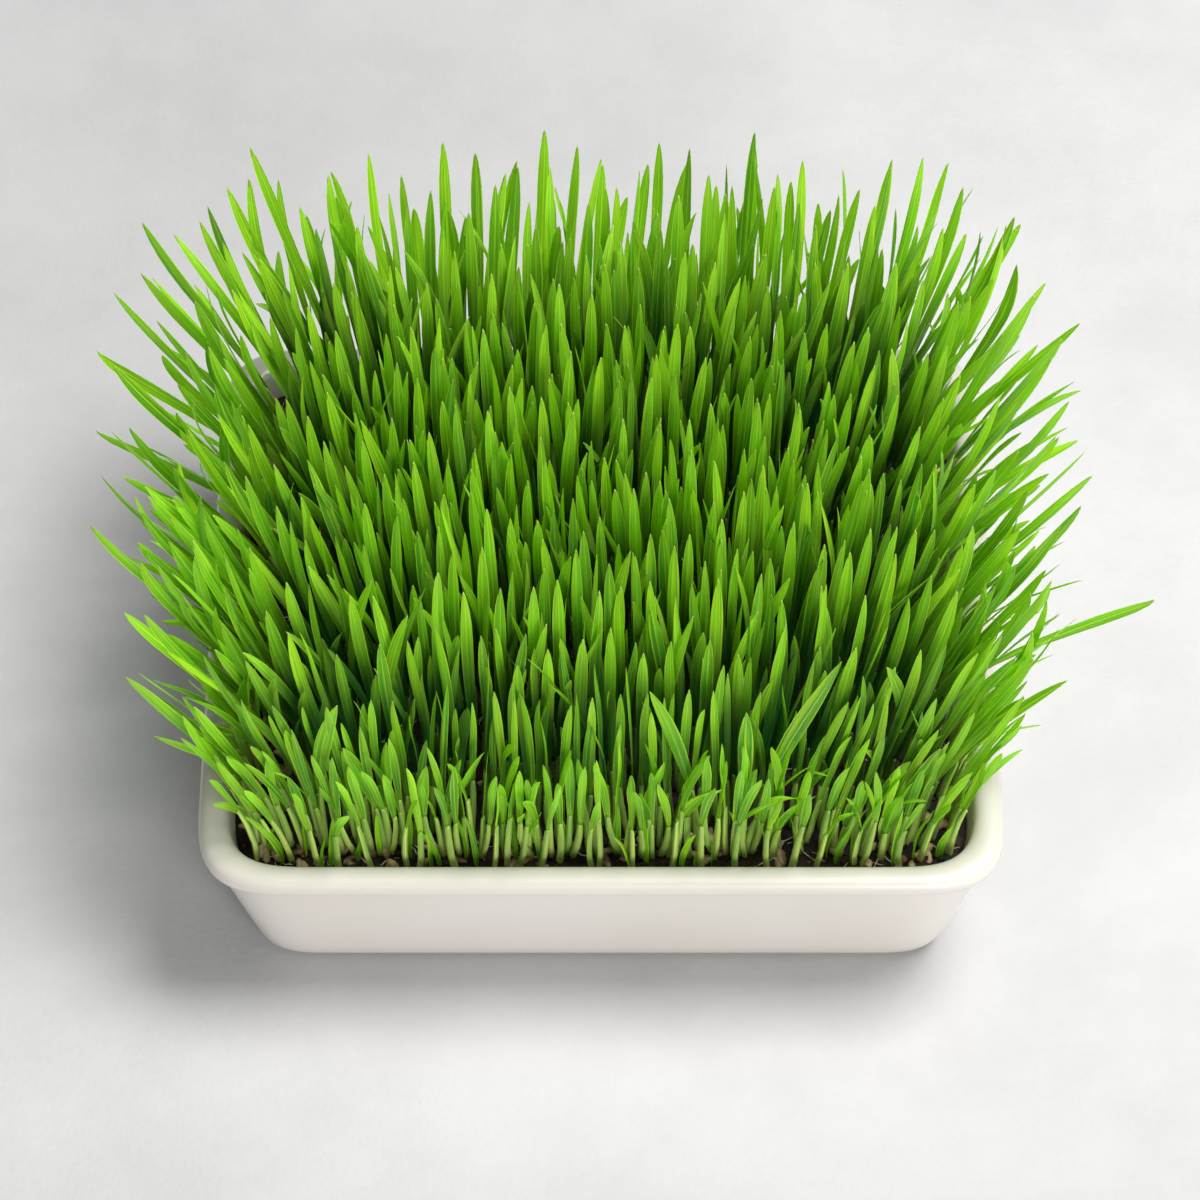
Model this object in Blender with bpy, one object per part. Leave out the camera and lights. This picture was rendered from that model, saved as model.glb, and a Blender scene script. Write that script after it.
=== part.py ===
"""Wheatgrass tray: a glazed stoneware dish of soil, with wheat shoots standing in it.

Metres, +Z up. The origin is the centre of the dish's flat underside, +X runs along the long side, and -Y is the
front. The shoots are the leafy stems: each is a pale sheath that opens into one flat blade. They stand in 48
clumps, each rooted in a plug of matted roots that stands in a plain hole in the soil.
"""

import math
import random

import bmesh
import bpy
from mathutils import Matrix, Vector, noise

MM = 0.001
TOLERANCE = 0.02 * MM

# Dish
DISH_LENGTH = 260 * MM
DISH_DEPTH = 228 * MM
CORNER_REACH = 38 * MM  # how far from a square corner the rim's outline starts to turn
CORNER_SHRINK = 0.7  # how much of a ring's inset comes off that reach
CORNER_POWER = 3.6  # 2 would be a quarter of a circle, more is squarer
CORNER_STEPS = 6
# Each ring of the wall is (inset from the rim's outermost line, height), up the outside and down the inside
OUTER_RINGS_MM = ((21.4, 0), (17.4, 1.0), (15.4, 4.2), (14.3, 8.0), (3.0, 56.4))
RIM_RINGS_MM = ((0.8, 57.4), (0.0, 59.8), (0.5, 62.2), (2.2, 63.6), (4.7, 64.0), (7.5, 63.6), (9.2, 61.9))
INNER_RINGS_MM = ((10.3, 57.0), (22.6, 10.5), (24.2, 7.6), (28.0, 6.0))
SHARP_ANGLE = math.radians(35)

# Soil
SOIL_TOP = 53.5 * MM
WALL_GAP = 0.36 * MM  # between the soil and the dish
GAP = 0.3 * MM  # between the soil and a plug of roots, and under the soil
SOIL_CUTS_X, SOIL_CUTS_Y = 8, 6
LUMP_HEIGHT = 1.5 * MM
LUMP_SIZE = 17 * MM
GRAIN_LENGTH, GRAIN_WIDTH = 7.0 * MM, 3.4 * MM
GRAINS_LONG_SIDE, GRAINS_SHORT_SIDE = 9, 7
GRAIN_FROM_EDGE = 2.9 * MM
GRAIN_RISE = 0.4 * MM
GRAIN_SHIFT, GRAIN_INWARD = 3 * MM, 1 * MM
GRAIN_TURN, GRAIN_TIP = 0.4, 0.3

# Bed of shoots: clumps in a grid, each of 3 columns and 3 rows of shoots
CLUMP_COLUMNS, CLUMP_ROWS = 8, 6
CLUMP_SIDE = 3
BED_LENGTH, BED_DEPTH = 234 * MM, 207 * MM
PITCH_X = BED_LENGTH / (CLUMP_COLUMNS * CLUMP_SIDE)
PITCH_Y = BED_DEPTH / (CLUMP_ROWS * CLUMP_SIDE)
STAGGER = 0.22  # of a column's pitch, to either side on alternate rows
CORNER_TUCK = 0.07  # how far the bed's corner shoots stand in from a square corner
ROOT_GATHER = 0.68  # how far a clump's stems draw together at the soil
GATHER_HEIGHT = 24 * MM
PLUG_DEPTH = 8 * MM
PLUG_LENGTH, PLUG_WIDTH = 23.0 * MM, 24.0 * MM
PLUG_CORNER = 1.8 * MM
PLUG_ABOVE_SOIL = 1.6 * MM
HOLE_TOP = SOIL_TOP + 10 * MM  # each hole's cutter ends here, clear above the soil and its grains
ROOT_SINK = 4.5 * MM
SEED = 41

# Shoots
SHIFT_X, SHIFT_Y = 0.9 * MM, 1.6 * MM
LEAN_X, LEAN_Y = 1.2 * MM, 2.2 * MM
TURN = 0.7
SMALLEST, LARGEST = 0.88, 1.08
SHOOT_HEIGHT = 99 * MM
HEIGHT_SPREAD = 0.13
LIKELIEST_SPREAD = 0.15
FRONT_ROW_HEIGHTS = (0.56, 0.78, 0.92)
SIDE_LOSS, SIDE_POWER = 0.19, 5
BACK_LOSS, BACK_POWER = 0.12, 4
FAN_SIDE, FAN_BACK, FAN_FRONT = 54 * MM, 42 * MM, 8 * MM
FAN_POWER = 3.5
BEND_POWER, BEND_EARLY = 2.2, 2.4
# Near the front the side lean is held back to this share, which grows to all of it over this depth
FRONT_HOLD, HOLD_DEPTH = 0.5, 70 * MM
SWAY, SWAY_SIZE = 7 * MM, 70 * MM
SWAY_APART = Vector((0, 0, 5))  # the two directions of sway are read this far apart in the noise
SHEATH_WIDTH, SHEATH_THICKNESS = 2.7 * MM, 2.3 * MM
BLADE_WIDTH, BLADE_THICKNESS = 5.2 * MM, 1.2 * MM
# Levels up a shoot, as (share of its height, width, thickness)
SHOOT_LEVELS = (
    (0.24, SHEATH_WIDTH, SHEATH_THICKNESS),
    (0.46, 0.84 * BLADE_WIDTH, 1.1 * BLADE_THICKNESS),
    (0.70, BLADE_WIDTH, BLADE_THICKNESS),
)
LOOK_AHEAD = 0.05  # share of the height over which a shoot's direction is taken
# Shoots that stand out past the rest, as {(column, row): (times taller, times further out at the tip)}
STRAYS = {
    (0, 2): (0.44, 3.61),
    (0, 3): (0.46, 2.91),
    (23, 5): (0.75, 2.19),
    (23, 8): (0.90, 1.4),
    (0, 11): (0.74, 2.35),
    (0, 13): (0.94, 1.58),
    (0, 15): (0.95, 1.24),
    (23, 12): (0.78, 1.63),
    (2, 17): (1.10, 1.3),
    (4, 17): (0.97, 0.75),
    (9, 17): (1.16, 1.04),
    (12, 17): (1.04, 0.88),
    (16, 17): (1.04, 0.79),
    (21, 17): (1.04, 0.86),
}

STONEWARE = ("stoneware_glaze", (0.86, 0.83, 0.77), 0.22)
COMPOST = ("compost", (0.055, 0.035, 0.022), 0.95)
LEAF = ("wheat_leaf", (0.12, 0.36, 0.03), 0.45)


def material(name, colour, roughness):
    """A Principled material of one colour."""
    made = bpy.data.materials.new(name)
    made.use_nodes = True
    shader = made.node_tree.nodes["Principled BSDF"]
    shader.inputs["Base Color"].default_value = (*colour, 1)
    shader.inputs["Roughness"].default_value = roughness
    shader.inputs["Metallic"].default_value = 0
    return made


def add_object(name, mesh, collection):
    """An object at the origin that holds the mesh."""
    made = bpy.data.objects.new(name, mesh)
    collection.objects.link(made)
    return made


def mesh_of(bm, name):
    """A mesh with outward faces from a bmesh, which is freed."""
    bmesh.ops.recalc_face_normals(bm, faces=bm.faces)
    mesh = bpy.data.meshes.new(name)
    bm.to_mesh(mesh)
    bm.free()
    return mesh


def apply_boolean(target, operation, others):
    """Cuts or joins every object of a collection into the target, then removes those objects."""
    boolean = target.modifiers.new(operation.title(), "BOOLEAN")
    boolean.operation = operation
    boolean.operand_type = "COLLECTION"
    boolean.collection = others
    boolean.solver = "EXACT"
    graph = bpy.context.evaluated_depsgraph_get()
    mesh = bpy.data.meshes.new_from_object(target.evaluated_get(graph))
    target.modifiers.clear()
    target.data = mesh
    for other in list(others.objects):
        bpy.data.objects.remove(other)


# Dish and soil

def ring_points(inset, height):
    """Corner points of a rounded rectangle, set in from the rim's outermost line."""
    reach = CORNER_REACH - CORNER_SHRINK * inset
    half_x = DISH_LENGTH / 2 - inset - reach
    half_y = DISH_DEPTH / 2 - inset - reach
    points = []
    for quarter, (side_x, side_y) in enumerate(((1, 1), (-1, 1), (-1, -1), (1, -1))):
        # An odd quarter runs from the Y axis to the X axis, so its steps are taken backwards
        steps = range(CORNER_STEPS + 1)
        for step in reversed(steps) if quarter % 2 else steps:
            angle = math.pi / 2 * step / CORNER_STEPS
            x = side_x * (half_x + reach * max(math.cos(angle), 0) ** (2 / CORNER_POWER))
            y = side_y * (half_y + reach * math.sin(angle) ** (2 / CORNER_POWER))
            points.append(Vector((x, y, height)))
    return points


def stack_of_rings(rings):
    """A closed body that runs through rounded rectangles one after another, by extruding its first face."""
    bm = bmesh.new()
    face = bm.faces.new([bm.verts.new(point) for point in ring_points(*rings[0])])
    start = bmesh.ops.duplicate(bm, geom=[face])
    bmesh.ops.reverse_faces(bm, faces=[f for f in start["geom"] if isinstance(f, bmesh.types.BMFace)])
    for ring in rings[1:]:
        made = bmesh.ops.extrude_discrete_faces(bm, faces=[face])
        face = made["faces"][0]
        for vert, point in zip(face.verts, ring_points(*ring)):
            vert.co = point
    bmesh.ops.remove_doubles(bm, verts=bm.verts, dist=TOLERANCE)
    return bm


def metres(rings_mm):
    """Rings in metres."""
    return [(inset * MM, height * MM) for inset, height in rings_mm]


def make_dish(collection, finish):
    """The dish, from the middle of its underside up over the rim and down to its inner floor."""
    rings = metres(OUTER_RINGS_MM + RIM_RINGS_MM + INNER_RINGS_MM)
    dish = add_object("dish", mesh_of(stack_of_rings(rings), "dish"), collection)
    dish.data.materials.append(finish)
    dish.data.shade_smooth()
    dish.data.set_sharp_from_angle(angle=SHARP_ANGLE)
    return dish


def inner_inset(height):
    """How far the dish's inner wall is in from the rim's outermost line at this height."""
    (top_inset, top), (low_inset, low) = metres(INNER_RINGS_MM[:2])
    return top_inset + (low_inset - top_inset) * (top - height) / (top - low)


def lump(x, y):
    """Rise of the soil at a place."""
    return LUMP_HEIGHT * noise.noise(Vector((x, y, 0)) / LUMP_SIZE)


def make_soil_block(collection):
    """The bed of soil, a gap clear of the dish, with its top raised in low lumps."""
    low = [(inset + WALL_GAP, height + GAP) for inset, height in metres(INNER_RINGS_MM[:0:-1])]
    bm = stack_of_rings(low + [(inner_inset(SOIL_TOP) + WALL_GAP, SOIL_TOP)])
    cuts = [(Vector((1, 0, 0)), BED_LENGTH, SOIL_CUTS_X), (Vector((0, 1, 0)), BED_DEPTH, SOIL_CUTS_Y)]
    for axis, span, count in cuts:
        for index in range(count):
            top = [face for face in bm.faces if face.calc_center_median().z > SOIL_TOP - TOLERANCE]
            geom = set(top)
            for face in top:
                geom.update(face.edges)
                geom.update(face.verts)
            place = axis * span * ((index + 0.5) / count - 0.5)
            bmesh.ops.bisect_plane(bm, geom=list(geom), dist=TOLERANCE, plane_co=place, plane_no=axis)
    half_x, half_y = BED_LENGTH / 2, BED_DEPTH / 2
    for vert in bm.verts:
        inside = abs(vert.co.x) < half_x and abs(vert.co.y) < half_y
        if inside and vert.co.z > SOIL_TOP - TOLERANCE:
            vert.co.z += lump(vert.co.x, vert.co.y)
    return add_object("soil", mesh_of(bm, "soil"), collection)


def grain_places(draw):
    """(place, turn) of the grains that lie along the edge of the bed."""
    half_x = DISH_LENGTH / 2 - inner_inset(SOIL_TOP) - GRAIN_FROM_EDGE
    half_y = DISH_DEPTH / 2 - inner_inset(SOIL_TOP) - GRAIN_FROM_EDGE
    places = []
    for side in (-1, 1):
        for index in range(GRAINS_LONG_SIDE):
            along = ((index + 0.5) / GRAINS_LONG_SIDE * 2 - 1) * (half_x - CORNER_REACH / 2)
            across = side * (half_y - draw.uniform(0, GRAIN_INWARD))
            place = along + draw.uniform(-GRAIN_SHIFT, GRAIN_SHIFT), across
            places.append((place, draw.uniform(-GRAIN_TURN, GRAIN_TURN)))
        for index in range(GRAINS_SHORT_SIDE):
            along = ((index + 0.5) / GRAINS_SHORT_SIDE * 2 - 1) * (half_y - CORNER_REACH / 2)
            across = side * (half_x - draw.uniform(0, GRAIN_INWARD))
            place = across, along + draw.uniform(-GRAIN_SHIFT, GRAIN_SHIFT)
            places.append((place, math.pi / 2 + draw.uniform(-GRAIN_TURN, GRAIN_TURN)))
    return places


def make_grain(place, turn, tip, collection):
    """One wheat grain, lying half sunk in the soil."""
    bm = bmesh.new()
    bmesh.ops.create_icosphere(bm, subdivisions=1, radius=0.5)
    lie = Matrix.Rotation(turn, 4, "Z") @ Matrix.Rotation(tip, 4, "Y")
    size = Matrix.Diagonal((GRAIN_LENGTH, GRAIN_WIDTH, GRAIN_WIDTH, 1))
    at = Matrix.Translation((*place, SOIL_TOP + GRAIN_RISE))
    bmesh.ops.transform(bm, matrix=at @ lie @ size, verts=bm.verts)
    return add_object("grain", mesh_of(bm, "grain"), collection)


def make_soil(collection, tools, plugs, finish):
    """The soil with its grains, and a plain hole for each clump."""
    soil = make_soil_block(collection)
    draw = random.Random(SEED)
    for place, turn in grain_places(draw):
        make_grain(place, turn, draw.uniform(-GRAIN_TIP, GRAIN_TIP), tools)
    apply_boolean(soil, "UNION", tools)
    for place in plugs:
        hole = plug_bmesh(place, GAP, HOLE_TOP)
        add_object("hole", mesh_of(hole, "hole"), tools)
    apply_boolean(soil, "DIFFERENCE", tools)
    soil.data.materials.clear()
    soil.data.materials.append(finish)
    return soil


# Shoots

def fan(x, y, height):
    """The place that a point of the upright bed leans out to. No two lanes of the bed meet."""
    side_x = x / (BED_LENGTH / 2)
    side_y = y / (BED_DEPTH / 2)
    reach = max(height, 0) / SHOOT_HEIGHT
    share = reach**BEND_POWER
    bend = (1 + BEND_EARLY) * share / (1 + BEND_EARLY * share)
    held = min(FRONT_HOLD + (1 - FRONT_HOLD) * (y + BED_DEPTH / 2) / HOLD_DEPTH, 1)
    out_x = math.copysign(abs(side_x) ** FAN_POWER, side_x) * FAN_SIDE * bend * held
    out_y = abs(side_y) ** FAN_POWER * bend * (FAN_BACK if side_y > 0 else -FAN_FRONT)
    spot = Vector((x, y, 0)) / SWAY_SIZE
    sway_x = noise.noise(spot) * SWAY * bend
    sway_y = noise.noise(spot + SWAY_APART) * SWAY * bend
    return Vector((x + out_x + sway_x, y + out_y + sway_y, height))


def tucked(x, y):
    """A place in the bed, drawn in where the bed's square corner would pass the dish's round one."""
    cornered = abs(4 * x * y / (BED_LENGTH * BED_DEPTH))
    tuck = 1 - CORNER_TUCK * cornered**3
    return x * tuck, y * tuck


def clump_centre(column, row):
    """Centre of the clump that holds a shoot."""
    x = (column // CLUMP_SIDE + 0.5) * CLUMP_SIDE * PITCH_X - BED_LENGTH / 2
    y = (row // CLUMP_SIDE + 0.5) * CLUMP_SIDE * PITCH_Y - BED_DEPTH / 2
    return tucked(x, y)


class Shoot:
    """One leafy stem: where it stands, how tall it is and how it leans and turns, all within its own lane."""

    def __init__(self, column, row, draw):
        stagger = STAGGER if row % 2 else -STAGGER
        self.centre = clump_centre(column, row)
        self.x = (column + 0.5 + stagger) * PITCH_X - BED_LENGTH / 2 + draw.uniform(-SHIFT_X, SHIFT_X)
        self.y = (row + 0.5) * PITCH_Y - BED_DEPTH / 2 + draw.uniform(-SHIFT_Y, SHIFT_Y)
        self.x, self.y = tucked(self.x, self.y)
        self.lean_x = draw.uniform(-LEAN_X, LEAN_X)
        self.lean_y = draw.uniform(-LEAN_Y, LEAN_Y)
        self.turn = draw.uniform(-TURN, TURN)
        self.size = draw.uniform(SMALLEST, LARGEST)
        spread = draw.triangular(-1, 1, LIKELIEST_SPREAD)
        side = abs(2 * self.x / BED_LENGTH) ** SIDE_POWER
        back = max(2 * self.y / BED_DEPTH, 0) ** BACK_POWER
        front = FRONT_ROW_HEIGHTS[row] if row < len(FRONT_ROW_HEIGHTS) else 1
        stray_height, self.reach = STRAYS.get((column, row), (1, 1))
        share = front * (1 - SIDE_LOSS * side) * (1 - BACK_LOSS * back) * (1 + HEIGHT_SPREAD * spread)
        self.height = SHOOT_HEIGHT * share * stray_height

    def point(self, height):
        """Point of the stem's middle line at a height above the soil."""
        share = height / self.height
        up = min(max(height, 0) / GATHER_HEIGHT, 1)
        gather = ROOT_GATHER + (1 - ROOT_GATHER) * (1 - (1 - up) ** 2)
        x = self.centre[0] + (self.x - self.centre[0]) * gather + self.lean_x * max(share, 0) ** 2
        y = self.centre[1] + (self.y - self.centre[1]) * gather + self.lean_y * max(share, 0) ** 2
        spot = fan(x, y, height)
        spot.x = x + (spot.x - x) * (1 + (self.reach - 1) * max(share, 0))
        spot.z += SOIL_TOP
        return spot


def shoot_template():
    """A three-sided spike 1 high, cut across at each level."""
    bm = bmesh.new()
    bmesh.ops.create_cone(bm, cap_ends=True, segments=3, radius1=1, radius2=0, depth=1)
    bmesh.ops.translate(bm, vec=(0, 0, 0.5), verts=bm.verts)
    for share, _, _ in SHOOT_LEVELS:
        geom = [*bm.verts, *bm.edges, *bm.faces]
        bmesh.ops.bisect_plane(bm, geom=geom, dist=TOLERANCE, plane_co=(0, 0, share), plane_no=(0, 0, 1))
    return bm


def section_size(share):
    """Width and thickness of a shoot at a share of its height."""
    levels = [(0, SHEATH_WIDTH, SHEATH_THICKNESS), *SHOOT_LEVELS]
    level = min(levels, key=lambda entry: abs(entry[0] - share))
    return level[1], level[2]


def make_shoot(shoot, template, collection):
    """One shoot as a closed body: the template bent along the stem's middle line, its root below the soil."""
    bm = template.copy()
    for vert in bm.verts:
        share = vert.co.z
        middle = shoot.point(share * shoot.height if share > 0 else -ROOT_SINK)
        if share > 1 - TOLERANCE:
            vert.co = middle
            continue
        width, thickness = section_size(share)
        ahead = shoot.point((share + LOOK_AHEAD) * shoot.height) - middle
        across = Vector((math.cos(shoot.turn), math.sin(shoot.turn), 0))
        across = (across - ahead * across.dot(ahead) / ahead.length_squared).normalized()
        facing = ahead.cross(across).normalized()
        ring_angle = math.atan2(vert.co.y, vert.co.x)
        # The spike's three corners become the blade's two edges and the keel behind it
        corner = round((ring_angle / math.tau) * 3) % 3
        if corner == 0:
            vert.co = middle + facing * thickness * shoot.size
        else:
            vert.co = middle + across * (width / 2 if corner == 1 else -width / 2) * shoot.size
    return add_object("shoot", mesh_of(bm, "shoot"), collection)


def plug_bmesh(place, grow, top):
    """A plug of matted roots about a place: a block with its upright edges cut, grown all round by a margin."""
    bm = bmesh.new()
    bmesh.ops.create_cube(bm, size=1)
    bottom = SOIL_TOP - PLUG_DEPTH - grow
    size = Matrix.Diagonal((PLUG_LENGTH + 2 * grow, PLUG_WIDTH + 2 * grow, top - bottom, 1))
    at = Matrix.Translation((*place, (top + bottom) / 2))
    bmesh.ops.transform(bm, matrix=at @ size, verts=bm.verts)
    upright = [edge for edge in bm.edges if abs(edge.verts[0].co.z - edge.verts[1].co.z) > PLUG_DEPTH / 2]
    bmesh.ops.bevel(bm, geom=upright, offset=PLUG_CORNER, offset_type="OFFSET", segments=1, affect="EDGES")
    return bm


def make_clump(name, shoots, template, place, collection, tools, finish):
    """One clump: its plug and its shoots joined into one body."""
    plug = plug_bmesh(place, 0, SOIL_TOP + PLUG_ABOVE_SOIL)
    clump = add_object(name, mesh_of(plug, name), collection)
    for shoot in shoots:
        make_shoot(shoot, template, tools)
    apply_boolean(clump, "UNION", tools)
    clump.data.materials.clear()
    clump.data.materials.append(finish)
    return clump


def main():
    """Clears the scene and builds the dish, the soil and the clumps of shoots."""
    for old in list(bpy.data.objects):
        bpy.data.objects.remove(old)
    parts = bpy.data.collections.new("wheatgrass_tray")
    tools = bpy.data.collections.new("tools")
    bpy.context.scene.collection.children.link(parts)
    bpy.context.scene.collection.children.link(tools)
    tools.hide_render = True

    draw = random.Random(SEED)
    clumps = {}
    for row in range(CLUMP_ROWS * CLUMP_SIDE):
        for column in range(CLUMP_COLUMNS * CLUMP_SIDE):
            shoot = Shoot(column, row, draw)
            clumps.setdefault(shoot.centre, []).append(shoot)

    make_dish(parts, material(*STONEWARE))
    make_soil(parts, tools, list(clumps), material(*COMPOST))
    template = shoot_template()
    leaf = material(*LEAF)
    for number, (place, shoots) in enumerate(clumps.items(), 1):
        make_clump(f"clump_{number:02d}", shoots, template, place, parts, tools, leaf)
    template.free()


main()
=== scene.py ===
"""Wheatgrass tray: the looks of a bed of young wheat in a glazed dish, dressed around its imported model."""

import logging
import math
import random
from dataclasses import dataclass, field
from enum import Enum
from typing import Any, Iterable, Sequence

import bmesh
import bpy
import numpy as np
from mathutils import Matrix, Vector, noise


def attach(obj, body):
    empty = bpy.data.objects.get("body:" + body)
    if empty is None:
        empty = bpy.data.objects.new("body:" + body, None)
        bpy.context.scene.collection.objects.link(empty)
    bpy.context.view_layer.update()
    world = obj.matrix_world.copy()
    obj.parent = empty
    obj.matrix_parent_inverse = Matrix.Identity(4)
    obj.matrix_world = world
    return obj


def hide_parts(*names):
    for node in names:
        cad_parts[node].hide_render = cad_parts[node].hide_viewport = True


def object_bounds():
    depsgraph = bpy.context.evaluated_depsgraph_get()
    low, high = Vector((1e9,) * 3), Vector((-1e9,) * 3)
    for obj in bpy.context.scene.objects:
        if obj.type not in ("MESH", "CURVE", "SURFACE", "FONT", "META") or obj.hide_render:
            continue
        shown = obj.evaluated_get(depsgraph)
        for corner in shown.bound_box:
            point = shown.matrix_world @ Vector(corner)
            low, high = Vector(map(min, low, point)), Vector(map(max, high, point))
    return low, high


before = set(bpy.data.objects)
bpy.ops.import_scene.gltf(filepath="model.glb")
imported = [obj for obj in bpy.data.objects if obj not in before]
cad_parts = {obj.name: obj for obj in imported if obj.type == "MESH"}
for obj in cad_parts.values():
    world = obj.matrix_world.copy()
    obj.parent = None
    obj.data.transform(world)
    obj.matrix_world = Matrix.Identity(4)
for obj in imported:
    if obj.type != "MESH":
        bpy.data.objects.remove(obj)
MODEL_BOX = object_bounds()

MM = 0.001
LOG = logging.getLogger("wheatgrass_tray")
Colour = tuple[float, float, float]


# Shader building

class Sock:
    """A node's output that takes arithmetic, each operation adding its Math node."""

    def __init__(self, graph: "Graph", socket: bpy.types.NodeSocket) -> None:
        """Wraps one output socket of a graph."""
        self.graph = graph
        self.socket = socket

    def _math(self, operation: str, *values: Any) -> "Sock":
        """Adds a Math node.

        Args:
            operation: The Math node's operation.
            *values: Its inputs, as sockets or numbers.

        Returns:
            The node's result.
        """
        return self.graph.node("ShaderNodeMath", {"operation": operation}, dict(enumerate(values)))

    def __add__(self, other: Any) -> "Sock":
        """Sum."""
        return self._math("ADD", self, other)

    __radd__ = __add__

    def __sub__(self, other: Any) -> "Sock":
        """Difference."""
        return self._math("SUBTRACT", self, other)

    def __rsub__(self, other: Any) -> "Sock":
        """Difference from a number, so that 1 - mask works."""
        return self._math("SUBTRACT", other, self)

    def __mul__(self, other: Any) -> "Sock":
        """Product."""
        return self._math("MULTIPLY", self, other)

    __rmul__ = __mul__

    def __abs__(self) -> "Sock":
        """Size without sign."""
        return self._math("ABSOLUTE", self)

    def fraction(self) -> "Sock":
        """What is left over the whole number."""
        return self._math("FRACT", self)

    def whole(self) -> "Sock":
        """The whole number below."""
        return self._math("FLOOR", self)

    def sine(self) -> "Sock":
        """Sine of an angle in radians."""
        return self._math("SINE", self)

    def step(self, low: float, high: float) -> "Sock":
        """Smooth rise from 0 at low to 1 at high.

        Args:
            low: Where the rise starts.
            high: Where it ends, which may lie below low for a fall.

        Returns:
            The mask.
        """
        settings = {"interpolation_type": "SMOOTHSTEP"}
        falls = low > high
        ends = {"From Min": min(low, high), "From Max": max(low, high)}
        ends |= {"To Min": 1.0 if falls else 0.0, "To Max": 0.0 if falls else 1.0}
        return self.graph.node("ShaderNodeMapRange", settings, {"Value": self, **ends})


class Graph:
    """The node tree of one material."""

    def __init__(self, name: str) -> None:
        """Starts an empty material of this name.

        Args:
            name: The material's name.
        """
        self.material = bpy.data.materials.new(name)
        self.material.use_nodes = True
        self.tree = self.material.node_tree
        self.tree.nodes.clear()

    def node(self, kind: str, settings: dict[str, Any] | None = None,
             inputs: dict[Any, Any] | None = None, out: int | str = 0) -> Sock:
        """Adds any node: settings first, then the values or links of its sockets.

        Args:
            kind: The node's type.
            settings: Its properties. The key stops holds a ramp's (place, colour) pairs.
            inputs: Its sockets by name or number, each a number, a tuple or another node's output.
            out: The output wanted, by name or number.

        Returns:
            That output.
        """
        made = self.tree.nodes.new(kind)
        for key, value in (settings or {}).items():
            if key == "stops":
                self._fill_ramp(made.color_ramp, value)
            else:
                setattr(made, key, value)
        for key, value in (inputs or {}).items():
            if isinstance(value, Sock):
                self.tree.links.new(value.socket, made.inputs[key])
            else:
                made.inputs[key].default_value = value
        return Sock(self, made.outputs[out])

    @staticmethod
    def _fill_ramp(ramp: bpy.types.ColorRamp, stops: Sequence[tuple[float, Colour]]) -> None:
        """Sets a ramp's stops, which run from left to right.

        Args:
            ramp: The ramp.
            stops: (place, colour) of each stop.
        """
        while len(ramp.elements) < len(stops):
            ramp.elements.new(0.5)
        for element, (place, colour) in zip(ramp.elements, stops):
            element.position = place
            element.color = (*colour, 1)

    def ramp(self, value: Sock, stops: Sequence[tuple[float, Colour]]) -> Sock:
        """Colours read along a ramp."""
        return self.node("ShaderNodeValToRGB", {"stops": stops}, {"Fac": value})

    def mix(self, factor: Sock | float, first: Any, second: Any) -> Sock:
        """Mixes two colours.

        Args:
            factor: Share of the second.
            first: A colour or a socket.
            second: A colour or a socket.

        Returns:
            The mixed colour.
        """
        colours = [value if isinstance(value, Sock) else (*value, 1) for value in (first, second)]
        inputs = {0: factor, 6: colours[0], 7: colours[1]}
        return self.node("ShaderNodeMix", {"data_type": "RGBA"}, inputs, 2)

    def place(self) -> Sock:
        """Object coordinates, in metres."""
        return self.node("ShaderNodeTexCoord", out="Object")

    def noise(self, at: Sock, scale: float, detail: float = 3.0, roughness: float = 0.5) -> Sock:
        """Soft noise of about this many features a metre.

        Args:
            at: The place that it is read at.
            scale: Features a metre.
            detail: Octaves.
            roughness: How strong each finer octave is.

        Returns:
            The noise, 0 to 1.
        """
        settings = {"noise_dimensions": "3D"}
        inputs = {"Vector": at, "Scale": scale, "Detail": detail, "Roughness": roughness}
        return self.node("ShaderNodeTexNoise", settings, inputs)

    def axes(self, at: Sock) -> tuple[Sock, Sock, Sock]:
        """A place's three coordinates."""
        parts = self.node("ShaderNodeSeparateXYZ", inputs={0: at}).socket.node.outputs
        return Sock(self, parts[0]), Sock(self, parts[1]), Sock(self, parts[2])

    def bump(self, height: Sock, distance: float, strength: float = 1.0) -> Sock:
        """A normal raised by a height.

        Args:
            height: The relief, about 0 to 1.
            distance: Metres of relief at 1.
            strength: How much of it is used.

        Returns:
            The normal.
        """
        inputs = {"Height": height, "Distance": distance, "Strength": strength}
        return self.node("ShaderNodeBump", inputs=inputs)

    def principled(self, **inputs: Any) -> Sock:
        """A Principled shader, its sockets named with _ for each space.

        Args:
            **inputs: Numbers, colours or outputs for its sockets.

        Returns:
            The shader.
        """
        named = {key.replace("_", " "): value for key, value in inputs.items()}
        for key, value in named.items():
            if isinstance(value, tuple) and len(value) == 3:
                named[key] = (*value, 1)
        return self.node("ShaderNodeBsdfPrincipled", inputs=named)

    def finish(self, surface: Sock) -> bpy.types.Material:
        """Puts a shader on the surface and gives the material.

        Args:
            surface: The shader.

        Returns:
            The material.
        """
        output = self.tree.nodes.new("ShaderNodeOutputMaterial")
        self.tree.links.new(surface.socket, output.inputs["Surface"])
        return self.material


# Finishes

BLADE_MAP = "blade"


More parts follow.
